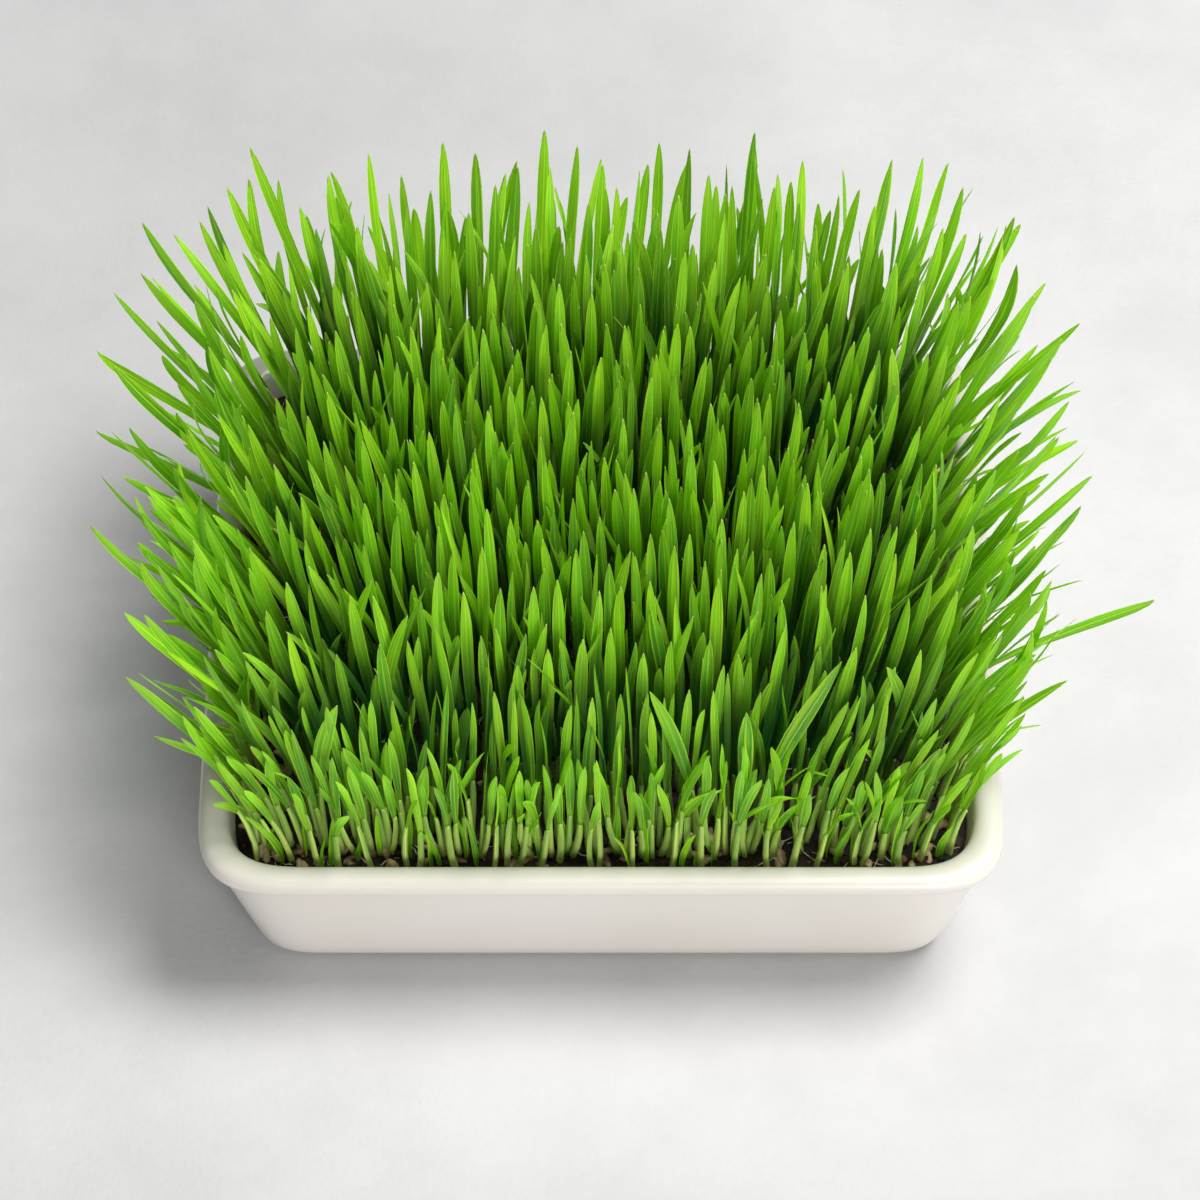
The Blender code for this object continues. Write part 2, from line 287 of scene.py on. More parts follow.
@dataclass(frozen=True)
class GlazeFinish:
    """Off-white stoneware glaze, with faint soil stains along the inner rim."""

    body: Colour = (0.715, 0.682, 0.632)
    warm: Colour = (0.67, 0.615, 0.54)
    # Thin glaze over the rim, darkened further as painted shade of the rim's top
    thin_glaze_and_rim_shade: Colour = (0.56, 0.535, 0.470)
    stain: Colour = (0.30, 0.27, 0.10)
    speck: Colour = (0.45, 0.36, 0.25)
    rim_height: float = 64 * MM
    turn_height: float = 60 * MM
    soil_height: float = 53.5 * MM
    foot_height: float = 10 * MM

    def make(self) -> bpy.types.Material:
        """Builds the material.

        Returns:
            The glaze.
        """
        graph = Graph("stoneware_glaze")
        place = graph.place()
        _, _, height = graph.axes(place)
        cloud = graph.noise(place, 14, 4)
        tone = graph.mix(cloud.step(0.35, 0.75) * 0.5, self.body, self.warm)
        # Over the rim's turn the glaze thins, and the rim's top is darkened there as painted shade; the glaze
        # warms just above the foot
        rim_thin_and_shade_mask = height.step(self.turn_height, self.rim_height - 0.6 * MM)
        tone = graph.mix(rim_thin_and_shade_mask * 0.8, tone, self.thin_glaze_and_rim_shade)
        foot = height.step(self.foot_height, 0.0) * 0.35
        tone = graph.mix(foot, tone, self.warm)
        # Specks of iron in the clay
        fine = graph.noise(place, 900, 2)
        tone = graph.mix(fine.step(0.735, 0.78) * 0.5, tone, self.speck)
        # Smears of soil and green juice near the soil line, on the inner wall only
        inner = graph.node("ShaderNodeAttribute", {"attribute_name": "inner"}, out="Fac")
        smear = graph.noise(place, 90, 5, 0.65).step(0.50, 0.72)
        near_soil = height.step(self.rim_height - 0.5 * MM, self.soil_height + 1 * MM)
        tone = graph.mix(smear * near_soil * inner * 0.75, tone, self.stain)
        waves = graph.noise(place, 55, 2) * 0.8 + graph.noise(place, 420, 2) * 0.2
        shader = graph.principled(
            Base_Color=tone, Roughness=0.24 + 0.16 * cloud, Coat_Weight=0.35, Coat_Roughness=0.16,
            Normal=graph.bump(waves, 0.0002, 0.25))
        return graph.finish(shader)


@dataclass(frozen=True)
class SoilFinish:
    """Moist dark compost, with paler fibres and a few wet glints."""

    dark: Colour = (0.007, 0.005, 0.004)
    brown: Colour = (0.038, 0.021, 0.012)
    pale: Colour = (0.16, 0.10, 0.06)

    def make(self, name: str = "compost", lift: float = 0.0) -> bpy.types.Material:
        """Builds the material.

        Args:
            name: The material's name.
            lift: How far the tones go up towards the pale one, for loose crumbs.

        Returns:
            The material.
        """
        graph = Graph(name)
        place = graph.place()
        coarse = graph.noise(place, 170, 4, 0.6)
        fine = graph.noise(place, 900, 4, 0.7)
        tone = graph.mix((coarse + lift).step(0.35, 0.7), self.dark, self.brown)
        tone = graph.mix((fine + lift * 0.5).step(0.60, 0.78) * 0.6, tone, self.pale)
        shader = graph.principled(
            Base_Color=tone, Roughness=0.55 + 0.4 * fine, Specular_IOR_Level=0.35,
            Normal=graph.bump(coarse * 0.5 + fine * 0.5, 0.0012, 0.9))
        return graph.finish(shader)


@dataclass(frozen=True)
class GrainFinish:
    """Sprouted wheat grain: tan skin, darker where it is wet, and darkest in the crease."""

    tan: Colour = (0.60, 0.42, 0.25)
    wet: Colour = (0.19, 0.10, 0.055)
    skin: Colour = (0.74, 0.60, 0.42)

    def make(self) -> bpy.types.Material:
        """Builds the material.

        Returns:
            The grain's skin.
        """
        graph = Graph("wheat_grain")
        place = graph.place()
        tone = graph.mix(graph.noise(place, 110, 2).step(0.38, 0.62), self.tan, self.wet)
        tone = graph.mix(graph.noise(place, 420, 3).step(0.55, 0.75) * 0.6, tone, self.skin)
        wrinkles = graph.noise(place, 1500, 3)
        shader = graph.principled(Base_Color=tone, Roughness=0.38 + 0.2 * wrinkles,
                                  Normal=graph.bump(wrinkles, 0.0002, 0.7))
        return graph.finish(shader)


@dataclass(frozen=True)
class RootFinish:
    """Fine white roots, brown where soil clings to them."""

    white: Colour = (0.72, 0.66, 0.50)
    soiled: Colour = (0.24, 0.15, 0.08)

    def make(self) -> bpy.types.Material:
        """Builds the material.

        Returns:
            The root's skin.
        """
        graph = Graph("rootlet")
        soil = graph.noise(graph.place(), 260, 3).step(0.42, 0.66)
        tone = graph.mix(soil, self.white, self.soiled)
        return graph.finish(graph.principled(Base_Color=tone, Roughness=0.6))


@dataclass(frozen=True)
class LeafFinish:
    """A wheat leaf's skin: fine veins, a pale midrib, light edges and a cream tip, with light through it.

    The blade map holds the place across in the fraction of u, a number for the leaf in its whole part, and
    the place along in v.
    """

    name: str
    along: tuple[tuple[float, Colour], ...]
    cool: Colour
    warm: Colour
    through: Colour
    light_through: float
    veins: int
    darkening: float
    # Where the darkening begins and where it is full: going down, and in from the front, back and sides
    deep_heights: tuple[float, float] = (145 * MM, 90 * MM)
    deep_front: tuple[float, float] = (-98 * MM, -76 * MM)
    deep_back: tuple[float, float] = (112 * MM, 82 * MM)
    deep_sides: tuple[float, float] = (124 * MM, 94 * MM)

    def make(self) -> bpy.types.Material:
        """Builds the material.

        Returns:
            The leaf's skin.
        """
        graph = Graph(self.name)
        uv = graph.node("ShaderNodeUVMap", {"uv_map": BLADE_MAP})
        u, v, _ = graph.axes(uv)
        number = u.whole()
        across = u.fraction()
        place = graph.place()
        side, depth, height = graph.axes(place)
        settings = {"noise_dimensions": "1D"}
        chance = graph.node("ShaderNodeTexWhiteNoise", settings, {"W": number}, "Value")
        tone = graph.ramp(v, self.along)
        # Each leaf leans to a cooler or a warmer green, and the cast drifts along it
        cast = graph.noise(place, 26, 2)
        tone = graph.mix(chance.step(0.45, 0.0) * 0.78, tone, self.cool)
        tone = graph.mix((chance + cast * 0.6 - 0.3).step(0.50, 1.0) * 0.70, tone, self.warm)
        # Streaks run lengthwise, different on every leaf
        lanes = {0: across * 6 + number * 3.7, 1: v * 1.4, 2: number * 1.3}
        lane = graph.node("ShaderNodeCombineXYZ", inputs=lanes)
        streak = graph.noise(lane, 1, 2)
        light = tuple(min(1.0, 1.5 * part) for part in self.warm)
        dark = tuple(0.45 * part for part in self.cool)
        tone = graph.mix(streak.step(0.50, 0.66) * 0.55, tone, light)
        tone = graph.mix(streak.step(0.46, 0.34) * 0.38, tone, dark)
        # One half of each blade is painted darker, as painted shade of the fold
        tone = graph.mix(across.step(0.49, 0.51) * 0.18, tone, dark)
        off_middle = abs(across - 0.5)
        vein = (across * (2 * math.pi * self.veins)).sine() * 0.5 + 0.5
        tone = graph.mix(vein * 0.34, tone, dark)
        tone = graph.mix(off_middle.step(0.055, 0.020) * 0.60, tone, light)
        tone = graph.mix(off_middle.step(0.390, 0.450) * 0.70, tone, light)
        # Inside the bed, away from its border, the skins are painted darker to deepen the shade there
        inside = depth.step(*self.deep_front) * depth.step(*self.deep_back) * abs(side).step(*self.deep_sides)
        deep = height.step(*self.deep_heights) * inside * self.darkening
        tone = graph.mix(deep, tone, dark)
        relief = vein * 0.5 + off_middle.step(0.06, 0.0)
        shader = graph.principled(
            Base_Color=tone, Roughness=0.32 + 0.12 * vein, Specular_IOR_Level=0.55,
            Normal=graph.bump(relief, 0.00012, 0.6))
        lit = graph.node("ShaderNodeBsdfTranslucent", inputs={"Color": (*self.through, 1)})
        # The same painted shade deep in the bed lets less light through the leaves
        share = (1 - deep) * self.light_through
        return graph.finish(graph.node("ShaderNodeMixShader", inputs={0: share, 1: shader, 2: lit}))


BLADE_FINISH = LeafFinish(
    name="wheat_blade",
    # Along a blade: a pale collar, a darker stretch low down that is painted shade, then brighter up to a
    # cream tip
    along=((0.0, (0.42, 0.66, 0.10)), (0.10, (0.22, 0.54, 0.034)), (0.25, (0.10, 0.38, 0.016)),
           (0.45, (0.16, 0.53, 0.016)), (0.70, (0.36, 0.88, 0.036)), (0.965, (0.50, 0.98, 0.080)),
           (0.985, (0.80, 0.86, 0.36))),
    cool=(0.030, 0.26, 0.034), warm=(0.56, 0.98, 0.034), through=(0.66, 1.0, 0.09), light_through=0.48,
    veins=4, darkening=0.97)
SHEATH_FINISH = LeafFinish(
    name="wheat_sheath",
    along=((0.0, (0.78, 0.74, 0.42)), (0.20, (0.66, 0.76, 0.26)), (0.55, (0.50, 0.72, 0.16)),
           (1.0, (0.30, 0.62, 0.06))),
    cool=(0.30, 0.60, 0.10), warm=(0.62, 0.78, 0.16), through=(0.72, 0.95, 0.26), light_through=0.14,
    veins=3, darkening=0.92)


@dataclass(frozen=True)
class FloorFinish:
    """A pale grey table top with a hardly visible cloudy grain, and painted shade that darkens it towards its
    front.
    """

    pale: Colour = (0.555, 0.555, 0.557)
    shade: Colour = (0.490, 0.490, 0.493)
    # Painted shade, darker towards the table's front
    front_painted_shade: Colour = (0.330, 0.330, 0.333)
    front_painted_shade_span: tuple[float, float] = (-110 * MM, -420 * MM)

    def make(self) -> bpy.types.Material:
        """Builds the material.

        Returns:
            The table top.
        """
        graph = Graph("table_top")
        place = graph.place()
        cloud = graph.noise(place, 9, 6, 0.68)
        tone = graph.mix(cloud.step(0.3, 0.72), self.pale, self.shade)
        _, depth, _ = graph.axes(place)
        # Painted shade darkens the table towards its front
        tone = graph.mix(depth.step(*self.front_painted_shade_span) * 0.8, tone, self.front_painted_shade)
        grain = graph.noise(place, 420, 3)
        shader = graph.principled(Base_Color=tone, Roughness=0.72, Normal=graph.bump(grain, 0.0004, 0.35))
        return graph.finish(shader)


# Pieces

def add_piece(name: str, mesh: bpy.types.Mesh, finishes: Iterable[bpy.types.Material],
              replaced: Sequence[str] = ()) -> bpy.types.Object:
    """Puts a finished mesh in the scene as a piece of the tray.

    Args:
        name: The piece's name.
        mesh: Its mesh, in place.
        finishes: Its materials, in the order that its faces number them.
        replaced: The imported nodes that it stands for.

    Returns:
        The object.
    """
    for finish in finishes:
        mesh.materials.append(finish)
    piece = bpy.data.objects.new(name, mesh)
    bpy.context.scene.collection.objects.link(piece)
    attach(piece, "root")
    if replaced:
        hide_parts(*replaced)
    LOG.info("%s: %d faces", name, len(mesh.polygons))
    return piece


def mesh_from(bm: bmesh.types.BMesh, name: str, smooth: bool = True) -> bpy.types.Mesh:
    """A mesh from a bmesh, which is freed.

    Args:
        bm: The finished bmesh.
        name: The mesh's name.
        smooth: Whether its faces are shaded smooth.

    Returns:
        The mesh.
    """
    mesh = bpy.data.meshes.new(name)
    bm.to_mesh(mesh)
    bm.free()
    mesh.polygons.foreach_set("use_smooth", [smooth] * len(mesh.polygons))
    return mesh


@dataclass(frozen=True)
class Outline:
    """A rectangle with squarish rounded corners, about the origin."""

    half_x: float
    half_y: float
    reach: float
    power: float = 3.6

    def at(self, quarter: int, share: float) -> tuple[float, float]:
        """A place on one corner, quarter by quarter round the outline, for a share of 0 to 1 of its turn.

        Args:
            quarter: The corner, 0 to 3.
            share: How far along its turn.

        Returns:
            The place.
        """
        side_x, side_y = ((1, 1), (-1, 1), (-1, -1), (1, -1))[quarter]
        angle = math.pi / 2 * (1 - share if quarter % 2 else share)
        x = self.half_x - self.reach + self.reach * max(math.cos(angle), 0) ** (2 / self.power)
        y = self.half_y - self.reach + self.reach * max(math.sin(angle), 0) ** (2 / self.power)
        return side_x * x, side_y * y

    def _over(self, x: float, y: float) -> tuple[float, float]:
        """How far a place lies into a corner's square, each way, as shares of the corner's reach."""
        return ((abs(x) - self.half_x) / self.reach + 1, (abs(y) - self.half_y) / self.reach + 1)

    def holds(self, x: float, y: float) -> bool:
        """Whether a place lies inside.

        Args:
            x: Its place along the outline's length.
            y: Its place across it.

        Returns:
            True if the outline holds it.
        """
        over_x, over_y = self._over(x, y)
        if over_x > 0 and over_y > 0:
            return over_x**self.power + over_y**self.power < 1
        return over_x < 1 and over_y < 1

    def drawn_in(self, x: float, y: float) -> tuple[float, float]:
        """A place of the plain rectangle, moved so that the rectangle's edge falls on the outline.

        Args:
            x: Its place along the outline's length.
            y: Its place across it.

        Returns:
            The moved place.
        """
        over_x, over_y = self._over(x, y)
        if over_x <= 0 or over_y <= 0:
            return x, y
        largest = max(over_x, over_y)
        pull = ((over_x / largest) ** self.power + (over_y / largest) ** self.power) ** (-1 / self.power)
        new_x = self.half_x + self.reach * (over_x * pull - 1)
        new_y = self.half_y + self.reach * (over_y * pull - 1)
        return math.copysign(new_x, x), math.copysign(new_y, y)


@dataclass
class Dish:
    """The glazed stoneware dish: a rounded rectangle with sloping walls and a rolled rim, a little uneven.

    Its rings are (inset from the rim's outermost line, height): the outer ones go up the outside to the top
    of the rim, the inner ones from there down to the floor.
    """

    length: float = 260 * MM
    depth: float = 228 * MM
    corner_reach: float = 38 * MM
    corner_shrink: float = 0.7
    corner_steps: int = 16
    side_steps: int = 10
    outer_mm: tuple = (
        (21.4, 0), (19.4, 0.25), (17.4, 1.0), (16.2, 2.3), (15.4, 4.2), (14.3, 8.0), (9.5, 28.0), (4.9, 48.0),
        (3.25, 55.4), (2.9, 56.5), (1.9, 56.9), (0.9, 57.5), (0.3, 58.5), (0.0, 59.8), (0.1, 61.1),
        (0.55, 62.3), (1.25, 63.1), (2.2, 63.6), (3.4, 63.9), (4.8, 64.0))
    inner_mm: tuple = (
        (6.3, 63.85), (7.6, 63.4), (8.6, 62.6), (9.25, 61.6), (9.75, 59.8), (10.3, 57.0), (13.6, 44.5),
        (22.6, 10.5), (24.2, 7.6), (28.0, 6.0))
    # The straight stretch of the inner wall runs between these two of its rings
    wall_top: int = 5
    wall_foot: int = 7
    wobble: float = 0.25 * MM
    waves_a_metre: float = 12
    steady_height: float = 20 * MM

    def outline_at(self, inset: float) -> Outline:
        """The outline at an inset from the rim's outermost line."""
        reach = self.corner_reach - self.corner_shrink * inset
        return Outline(self.length / 2 - inset, self.depth / 2 - inset, reach)

    def soil_outline(self, height: float, gap: float) -> Outline:
        """The inner wall's outline at a height, less a gap.

        Args:
            height: The height above the table.
            gap: How far inside the wall it lies.

        Returns:
            The outline.
        """
        (high_inset, high), (low_inset, low) = self.inner_mm[self.wall_top], self.inner_mm[self.wall_foot]
        inset = (high_inset + (low_inset - high_inset) * (high - height / MM) / (high - low)) * MM
        return self.outline_at(inset + gap)

    def ring(self, inset: float, height: float) -> list[Vector]:
        """Points round the dish, the same number for every ring.

        Args:
            inset: How far in from the rim's outermost line they lie.
            height: Their height.

        Returns:
            The points.
        """
        outline = self.outline_at(inset)
        corners = []
        for quarter in range(4):
            for step in range(self.corner_steps + 1):
                corners.append(Vector((*outline.at(quarter, step / self.corner_steps), height)))
        points = []
        for index, corner in enumerate(corners):
            points.append(corner)
            if index % (self.corner_steps + 1) == self.corner_steps:
                following = corners[(index + 1) % len(corners)]
                shares = [step / self.side_steps for step in range(1, self.side_steps)]
                points += [corner.lerp(following, share) for share in shares]
        return points

    def uneven(self, point: Vector) -> Vector:
        """A point of the dish, moved inwards by the slight unevenness of a hand-finished form.

        Args:
            point: The point of the even form.

        Returns:
            The moved point.
        """
        rise = min(point.z / self.steady_height, 1)
        flat = Vector((point.x, point.y, 0))
        shift = (noise.noise(flat * self.waves_a_metre) * 0.5 - 0.5) * self.wobble * rise
        return point + flat.normalized() * shift

    def build(self, finish: bpy.types.Material) -> None:
        """Lofts the dish from its underside over the rim to its inner floor.

        Args:
            finish: The glaze.
        """
        rings = [*self.outer_mm, *self.inner_mm]
        bm = bmesh.new()
        loop = bm.faces.new([bm.verts.new(point) for point in self.ring(rings[0][0] * MM, 0)]).verts[:]
        edges = [bm.edges.get((vert, loop[index - 1])) for index, vert in enumerate(loop)]
        for inset, height in rings[1:]:
            made = bmesh.ops.extrude_edge_only(bm, edges=edges)["geom"]
            edges = [item for item in made if isinstance(item, bmesh.types.BMEdge)]
            ring = self.follow(loop)
            for vert, point in zip(ring, self.ring(inset * MM, height * MM)):
                vert.co = self.uneven(point)
            loop = ring
            edges = [bm.edges.get((vert, loop[index - 1])) for index, vert in enumerate(loop)]
        bm.faces.new(loop)
        bmesh.ops.recalc_face_normals(bm, faces=bm.faces)
        layer = bm.verts.layers.float.new("inner")
        outside = len(self.outer_mm) * len(loop)
        for index, vert in enumerate(bm.verts):
            vert[layer] = 0.0 if index < outside else 1.0
        add_piece("dish_glazed", mesh_from(bm, "dish_glazed"), [finish], ["dish"])

    @staticmethod
    def follow(loop: Sequence[bmesh.types.BMVert]) -> list[bmesh.types.BMVert]:
        """The new corner above each corner of the ring that was extruded.

        Args:
            loop: The corners of the ring.

        Returns:
            The new corners, in the same order.
        """
        old = set(loop)
        return [[edge.other_vert(vert) for edge in vert.link_edges if edge.other_vert(vert) not in old][-1]
                for vert in loop]


@dataclass
class Planting:
    """Where every shoot stands and how it leans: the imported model's own rule, with the same draws."""

    clump_columns: int = 8
    clump_rows: int = 6
    clump_side: int = 3
    length: float = 234 * MM
    depth: float = 207 * MM
    stagger: float = 0.22
    corner_tuck: float = 0.07
    root_gather: float = 0.68
    gather_height: float = 24 * MM
    soil_top: float = 53.5 * MM
    foot_curl: float = 7 * MM
    seed: int = 41
    shoot_height: float = 99 * MM
    height_spread: float = 0.13
    front_heights: tuple = (0.56, 0.78, 0.92)
    side_loss: float = 0.19
    back_loss: float = 0.12
    fan_side: float = 54 * MM
    fan_back: float = 42 * MM
    fan_front: float = 8 * MM
    fan_power: float = 3.5
    bend_power: float = 2.2
    bend_early: float = 2.4
    front_hold: float = 0.5
    hold_depth: float = 70 * MM
    sway: float = 7 * MM
    sway_size: float = 70 * MM
    jitter: tuple[float, float] = (0.9 * MM, 1.6 * MM)
    lean: tuple[float, float] = (1.2 * MM, 2.2 * MM)
    strays: dict = field(default_factory=lambda: {
        (0, 2): (0.44, 3.61), (0, 3): (0.46, 2.91), (23, 5): (0.75, 2.19), (23, 8): (0.90, 1.4),
        (0, 11): (0.74, 2.35), (0, 13): (0.94, 1.58), (0, 15): (0.95, 1.24), (23, 12): (0.78, 1.63),
        (2, 17): (1.10, 1.3), (4, 17): (0.97, 0.75), (9, 17): (1.16, 1.04), (12, 17): (1.04, 0.88),
        (16, 17): (1.04, 0.79), (21, 17): (1.04, 0.86)})

    @property
    def pitch_x(self) -> float:
        """Distance between columns of leading shoots."""
        return self.length / (self.clump_columns * self.clump_side)

    @property
    def pitch_y(self) -> float:
        """Distance between rows of leading shoots."""
        return self.depth / (self.clump_rows * self.clump_side)

    def tucked(self, x: float, y: float) -> tuple[float, float]:
        """A place in the bed, drawn in where the bed's square corner would pass the dish's round one."""
        tuck = 1 - self.corner_tuck * abs(4 * x * y / (self.length * self.depth)) ** 3
        return x * tuck, y * tuck

    def clump_centre(self, column: int, row: int) -> tuple[float, float]:
        """Centre of the clump that holds a shoot.

        Args:
            column: The shoot's column.
            row: The shoot's row.

        Returns:
            The centre.
        """
        x = (column // self.clump_side + 0.5) * self.clump_side * self.pitch_x - self.length / 2
        y = (row // self.clump_side + 0.5) * self.clump_side * self.pitch_y - self.depth / 2
        return self.tucked(x, y)

    def bend(self, height: float) -> float:
        """Share of its full lean that a shoot has at a height: hardly any low down, most of it half-way."""
        share = (max(height, 0) / self.shoot_height) ** self.bend_power
        return (1 + self.bend_early) * share / (1 + self.bend_early * share)

    def fan(self, x: float, y: float, height: float) -> Vector:
        """The place that a point of the upright bed leans out to.

        Args:
            x: Its place along the bed.
            y: Its place across the bed.
            height: Its height above the soil.

        Returns:
            The place, with the height kept.
        """
        side_x, side_y = x / (self.length / 2), y / (self.depth / 2)
        bend = self.bend(height)
        held = min(self.front_hold + (1 - self.front_hold) * (y + self.depth / 2) / self.hold_depth, 1)
        out_x = math.copysign(abs(side_x) ** self.fan_power, side_x) * self.fan_side * bend * held
        way = self.fan_back if side_y > 0 else -self.fan_front
        out_y = abs(side_y) ** self.fan_power * bend * way
        spot = Vector((x, y, 0)) / self.sway_size
        sway_x = noise.noise(spot) * self.sway * bend
        sway_y = noise.noise(spot + Vector((0, 0, 5))) * self.sway * bend
        return Vector((x + out_x + sway_x, y + out_y + sway_y, height))

    def share_of_height(self, x: float, y: float, row: float) -> float:
        """How tall the grass grows at a place, as a share of a full shoot.

        Args:
            x: Place along the bed.
            y: Place across the bed.
            row: The row there, which may lie between two.

        Returns:
            The share.
        """
        front = np.interp(row, range(len(self.front_heights) + 1), [*self.front_heights, 1])
        side = abs(2 * x / self.length) ** 5
        back = max(2 * y / self.depth, 0) ** 4
        return float(front) * (1 - self.side_loss * side) * (1 - self.back_loss * back)


@dataclass
class Shoot:
    """One leafy stem of the bed."""

    planting: Planting
    centre: tuple[float, float]
    x: float
    y: float
    lean: tuple[float, float]
    turn: float
    size: float
    height: float
    reach: float = 1.0
    gather: float = 1.0
    foot: tuple[float, float] = (0.0, 0.0)

    def point(self, height: float) -> Vector:
        """Point of the stem's middle line at a height above the soil.

        Args:
            height: The height, which may be below the soil.

        Returns:
            The point.
        """
        share = max(height / self.height, 0)
        up = min(max(height, 0) / self.planting.gather_height, 1)
        gather = self.gather + (1 - self.gather) * (1 - (1 - up) ** 2)
        x = self.centre[0] + (self.x - self.centre[0]) * gather + self.lean[0] * share**2
        y = self.centre[1] + (self.y - self.centre[1]) * gather + self.lean[1] * share**2
        spot = self.planting.fan(x, y, height)
        spot.x = x + (spot.x - x) * (1 + (self.reach - 1) * share)
        curl = math.exp(-max(height, 0) / self.planting.foot_curl)
        return spot + Vector((self.foot[0] * curl, self.foot[1] * curl, self.planting.soil_top))


class Growth(Enum):
    """The kinds of leaf in the bed."""

    LEADING = "leading"
    YOUNG = "young"
    SHORT = "short"
    SPIKE = "spike"


@dataclass(frozen=True)
class Leaf:
    """One blade's own shape, in the lane of its stem."""

    kind: Growth
    start: float
    tip: float
    width: float
    turn: float
    twist: float
    fold: float
    spread: tuple[float, float]
    droop: float
    ripple: float

    def width_at(self, share: float) -> float:
        """The blade's width at a share of its length: narrow, then widest past the middle, then acute.

        Args:
            share: The share, 0 at the collar and 1 at the tip.

        Returns:
            The width.
        """
        widest, narrow = {
            Growth.LEADING: (0.70, 0.46), Growth.YOUNG: (0.62, 0.36), Growth.SHORT: (0.58, 0.30),
            Growth.SPIKE: (0.40, 0.60)}[self.kind]
        opened = min(share / widest, 1)
        opening = narrow + (1 - narrow) * (1 - (1 - opened) ** 1.8)
        closing = max((share - widest) / (1 - widest), 0)
        return self.width * opening * (1 - closing**2.0) ** 0.75


class BladeMesher:
    """Bends two small templates, a blade and a sheath, into every leaf and stem of a clump."""

    # Shares of the length that the templates' levels stand at, closer together towards a blade's tip
    BLADE_LEVELS = np.array((0, .15, .31, .46, .60, .71, .80, .88, .94, .98, 1))
    SHEATH_LEVELS = np.array((0, .14, .40, .72, .93, 1))
    # A blade's section: place across from -1 to 1, and the side of the skin, for its six corners
    SECTION = ((1, 0), (0.42, 1), (-0.42, 1), (-1, 0), (-0.42, -1), (0.42, -1))
    BLADE_MARGINS = (0, 3)
    BLADE_THICKNESS = 0.34 * MM
    SHEATH_SIDES = 6
    SHEATH_FOOT = -3 * MM
    SHEATH_SLANT = 0.9 * MM
    # Shares of a sheath's radius at shares of its length
    SHEATH_GIRTH = ((0, 0.15, 0.85, 1), (0.95, 1.06, 0.90, 0.60))
    # How near to the sides of the model's box a point comes, and where it begins to be eased back
    BOX_MARGIN = 0.4 * MM
    BOX_EASE = 9 * MM
    # Powers that the spread and the droop grow by along a blade
    SPREAD_POWER = 1.7
    DROOP_POWER = 2.6

    def __init__(self) -> None:
        """Makes both templates."""
        bands = len(self.BLADE_LEVELS) - 1
        self.blade = self._template("blade_template", len(self.SECTION), bands, 0.0, self.BLADE_MARGINS)
        bands = len(self.SHEATH_LEVELS) - 1
        self.sheath = self._template("sheath_template", self.SHEATH_SIDES, bands, 1.0, ())
        self.number = 0

    @staticmethod
    def _template(name: str, sides: int, levels: int, top: float,
                  margins: tuple[int, ...]) -> dict[str, Any]:
        """A spike or a tube 1 high, cut across at every level.

        Args:
            name: The template's name.
            sides: Corners of its section.
            levels: Number of bands along it.
            top: Radius at its top, 0 for a point.
            margins: The corners that stay sharp along it.

        Returns:
            Its mesh, and each corner's number round the section and level.
        """
        bm = bmesh.new()
        bmesh.ops.create_cone(bm, cap_ends=True, segments=sides, radius1=1, radius2=top, depth=1)
        bmesh.ops.translate(bm, vec=(0, 0, 0.5), verts=bm.verts)
        for level in range(1, levels):
            bmesh.ops.bisect_plane(bm, geom=[*bm.verts, *bm.edges, *bm.faces], dist=1e-6,
                                   plane_co=(0, 0, level / levels), plane_no=(0, 0, 1))
        bmesh.ops.recalc_face_normals(bm, faces=bm.faces)
        level = np.array([round(vert.co.z * levels) for vert in bm.verts])
        rounds = [math.atan2(vert.co.y, vert.co.x) / math.tau * sides for vert in bm.verts]
        phase = min((turn for turn, at in zip(rounds, level) if at == 0), key=abs)
        corners = np.array([round(turn - phase) % sides for turn in rounds])
        bm.verts.index_update()
        for edge in bm.edges:
            ends = {int(corners[vert.index]) for vert in edge.verts}
            edge.smooth = not (len(ends) == 1 and ends <= set(margins))
        bm.loops.layers.uv.new(BLADE_MAP)
        mesh = mesh_from(bm, name)
        loops = np.zeros(len(mesh.loops), np.int32)
        mesh.loops.foreach_get("vertex_index", loops)
        return {"mesh": mesh, "level": level, "corner": corners, "loops": loops}

    def _within(self, points: np.ndarray) -> np.ndarray:
        """Points eased back from the sides of the model's box, so that no tip passes them.

        Args:
            points: The points.

        Returns:
            The eased points.
        """
        low = np.array(MODEL_BOX[0]) + self.BOX_MARGIN
        high = np.array(MODEL_BOX[1]) - self.BOX_MARGIN
        ease = self.BOX_EASE
        over = np.maximum(points - (high - ease), 0)
        points = np.minimum(points, high - ease) + ease * (1 - np.exp(-over / ease))
        under = np.maximum(low + ease - points, 0)
        return np.where(under > 0, low + ease - ease * (1 - np.exp(-under / ease)), points)

    def _append(self, bm: bmesh.types.BMesh, template: dict[str, Any], points: np.ndarray,
                across: np.ndarray, along: np.ndarray, material: int) -> None:
        """Adds a bent copy of a template to a clump.

        Args:
            bm: The clump's bmesh.
            template: The blade or the sheath.
            points: The place of each of the template's corners.
            across: The place across of each, 0 to 1.
            along: The place along of each, 0 to 1.
            material: The number of its finish.
        """
        mesh = template["mesh"]
        mesh.vertices.foreach_set("co", self._within(points).astype(np.float32).ravel())
        self.number += 1
        u = self.number + 0.03 + 0.94 * across[template["loops"]]
        v = along[template["loops"]]
        places = np.stack([u, v], 1).astype(np.float32)
        mesh.uv_layers[BLADE_MAP].data.foreach_set("uv", places.ravel())
        mesh.polygons.foreach_set("material_index", [material] * len(mesh.polygons))
        bm.from_mesh(mesh)

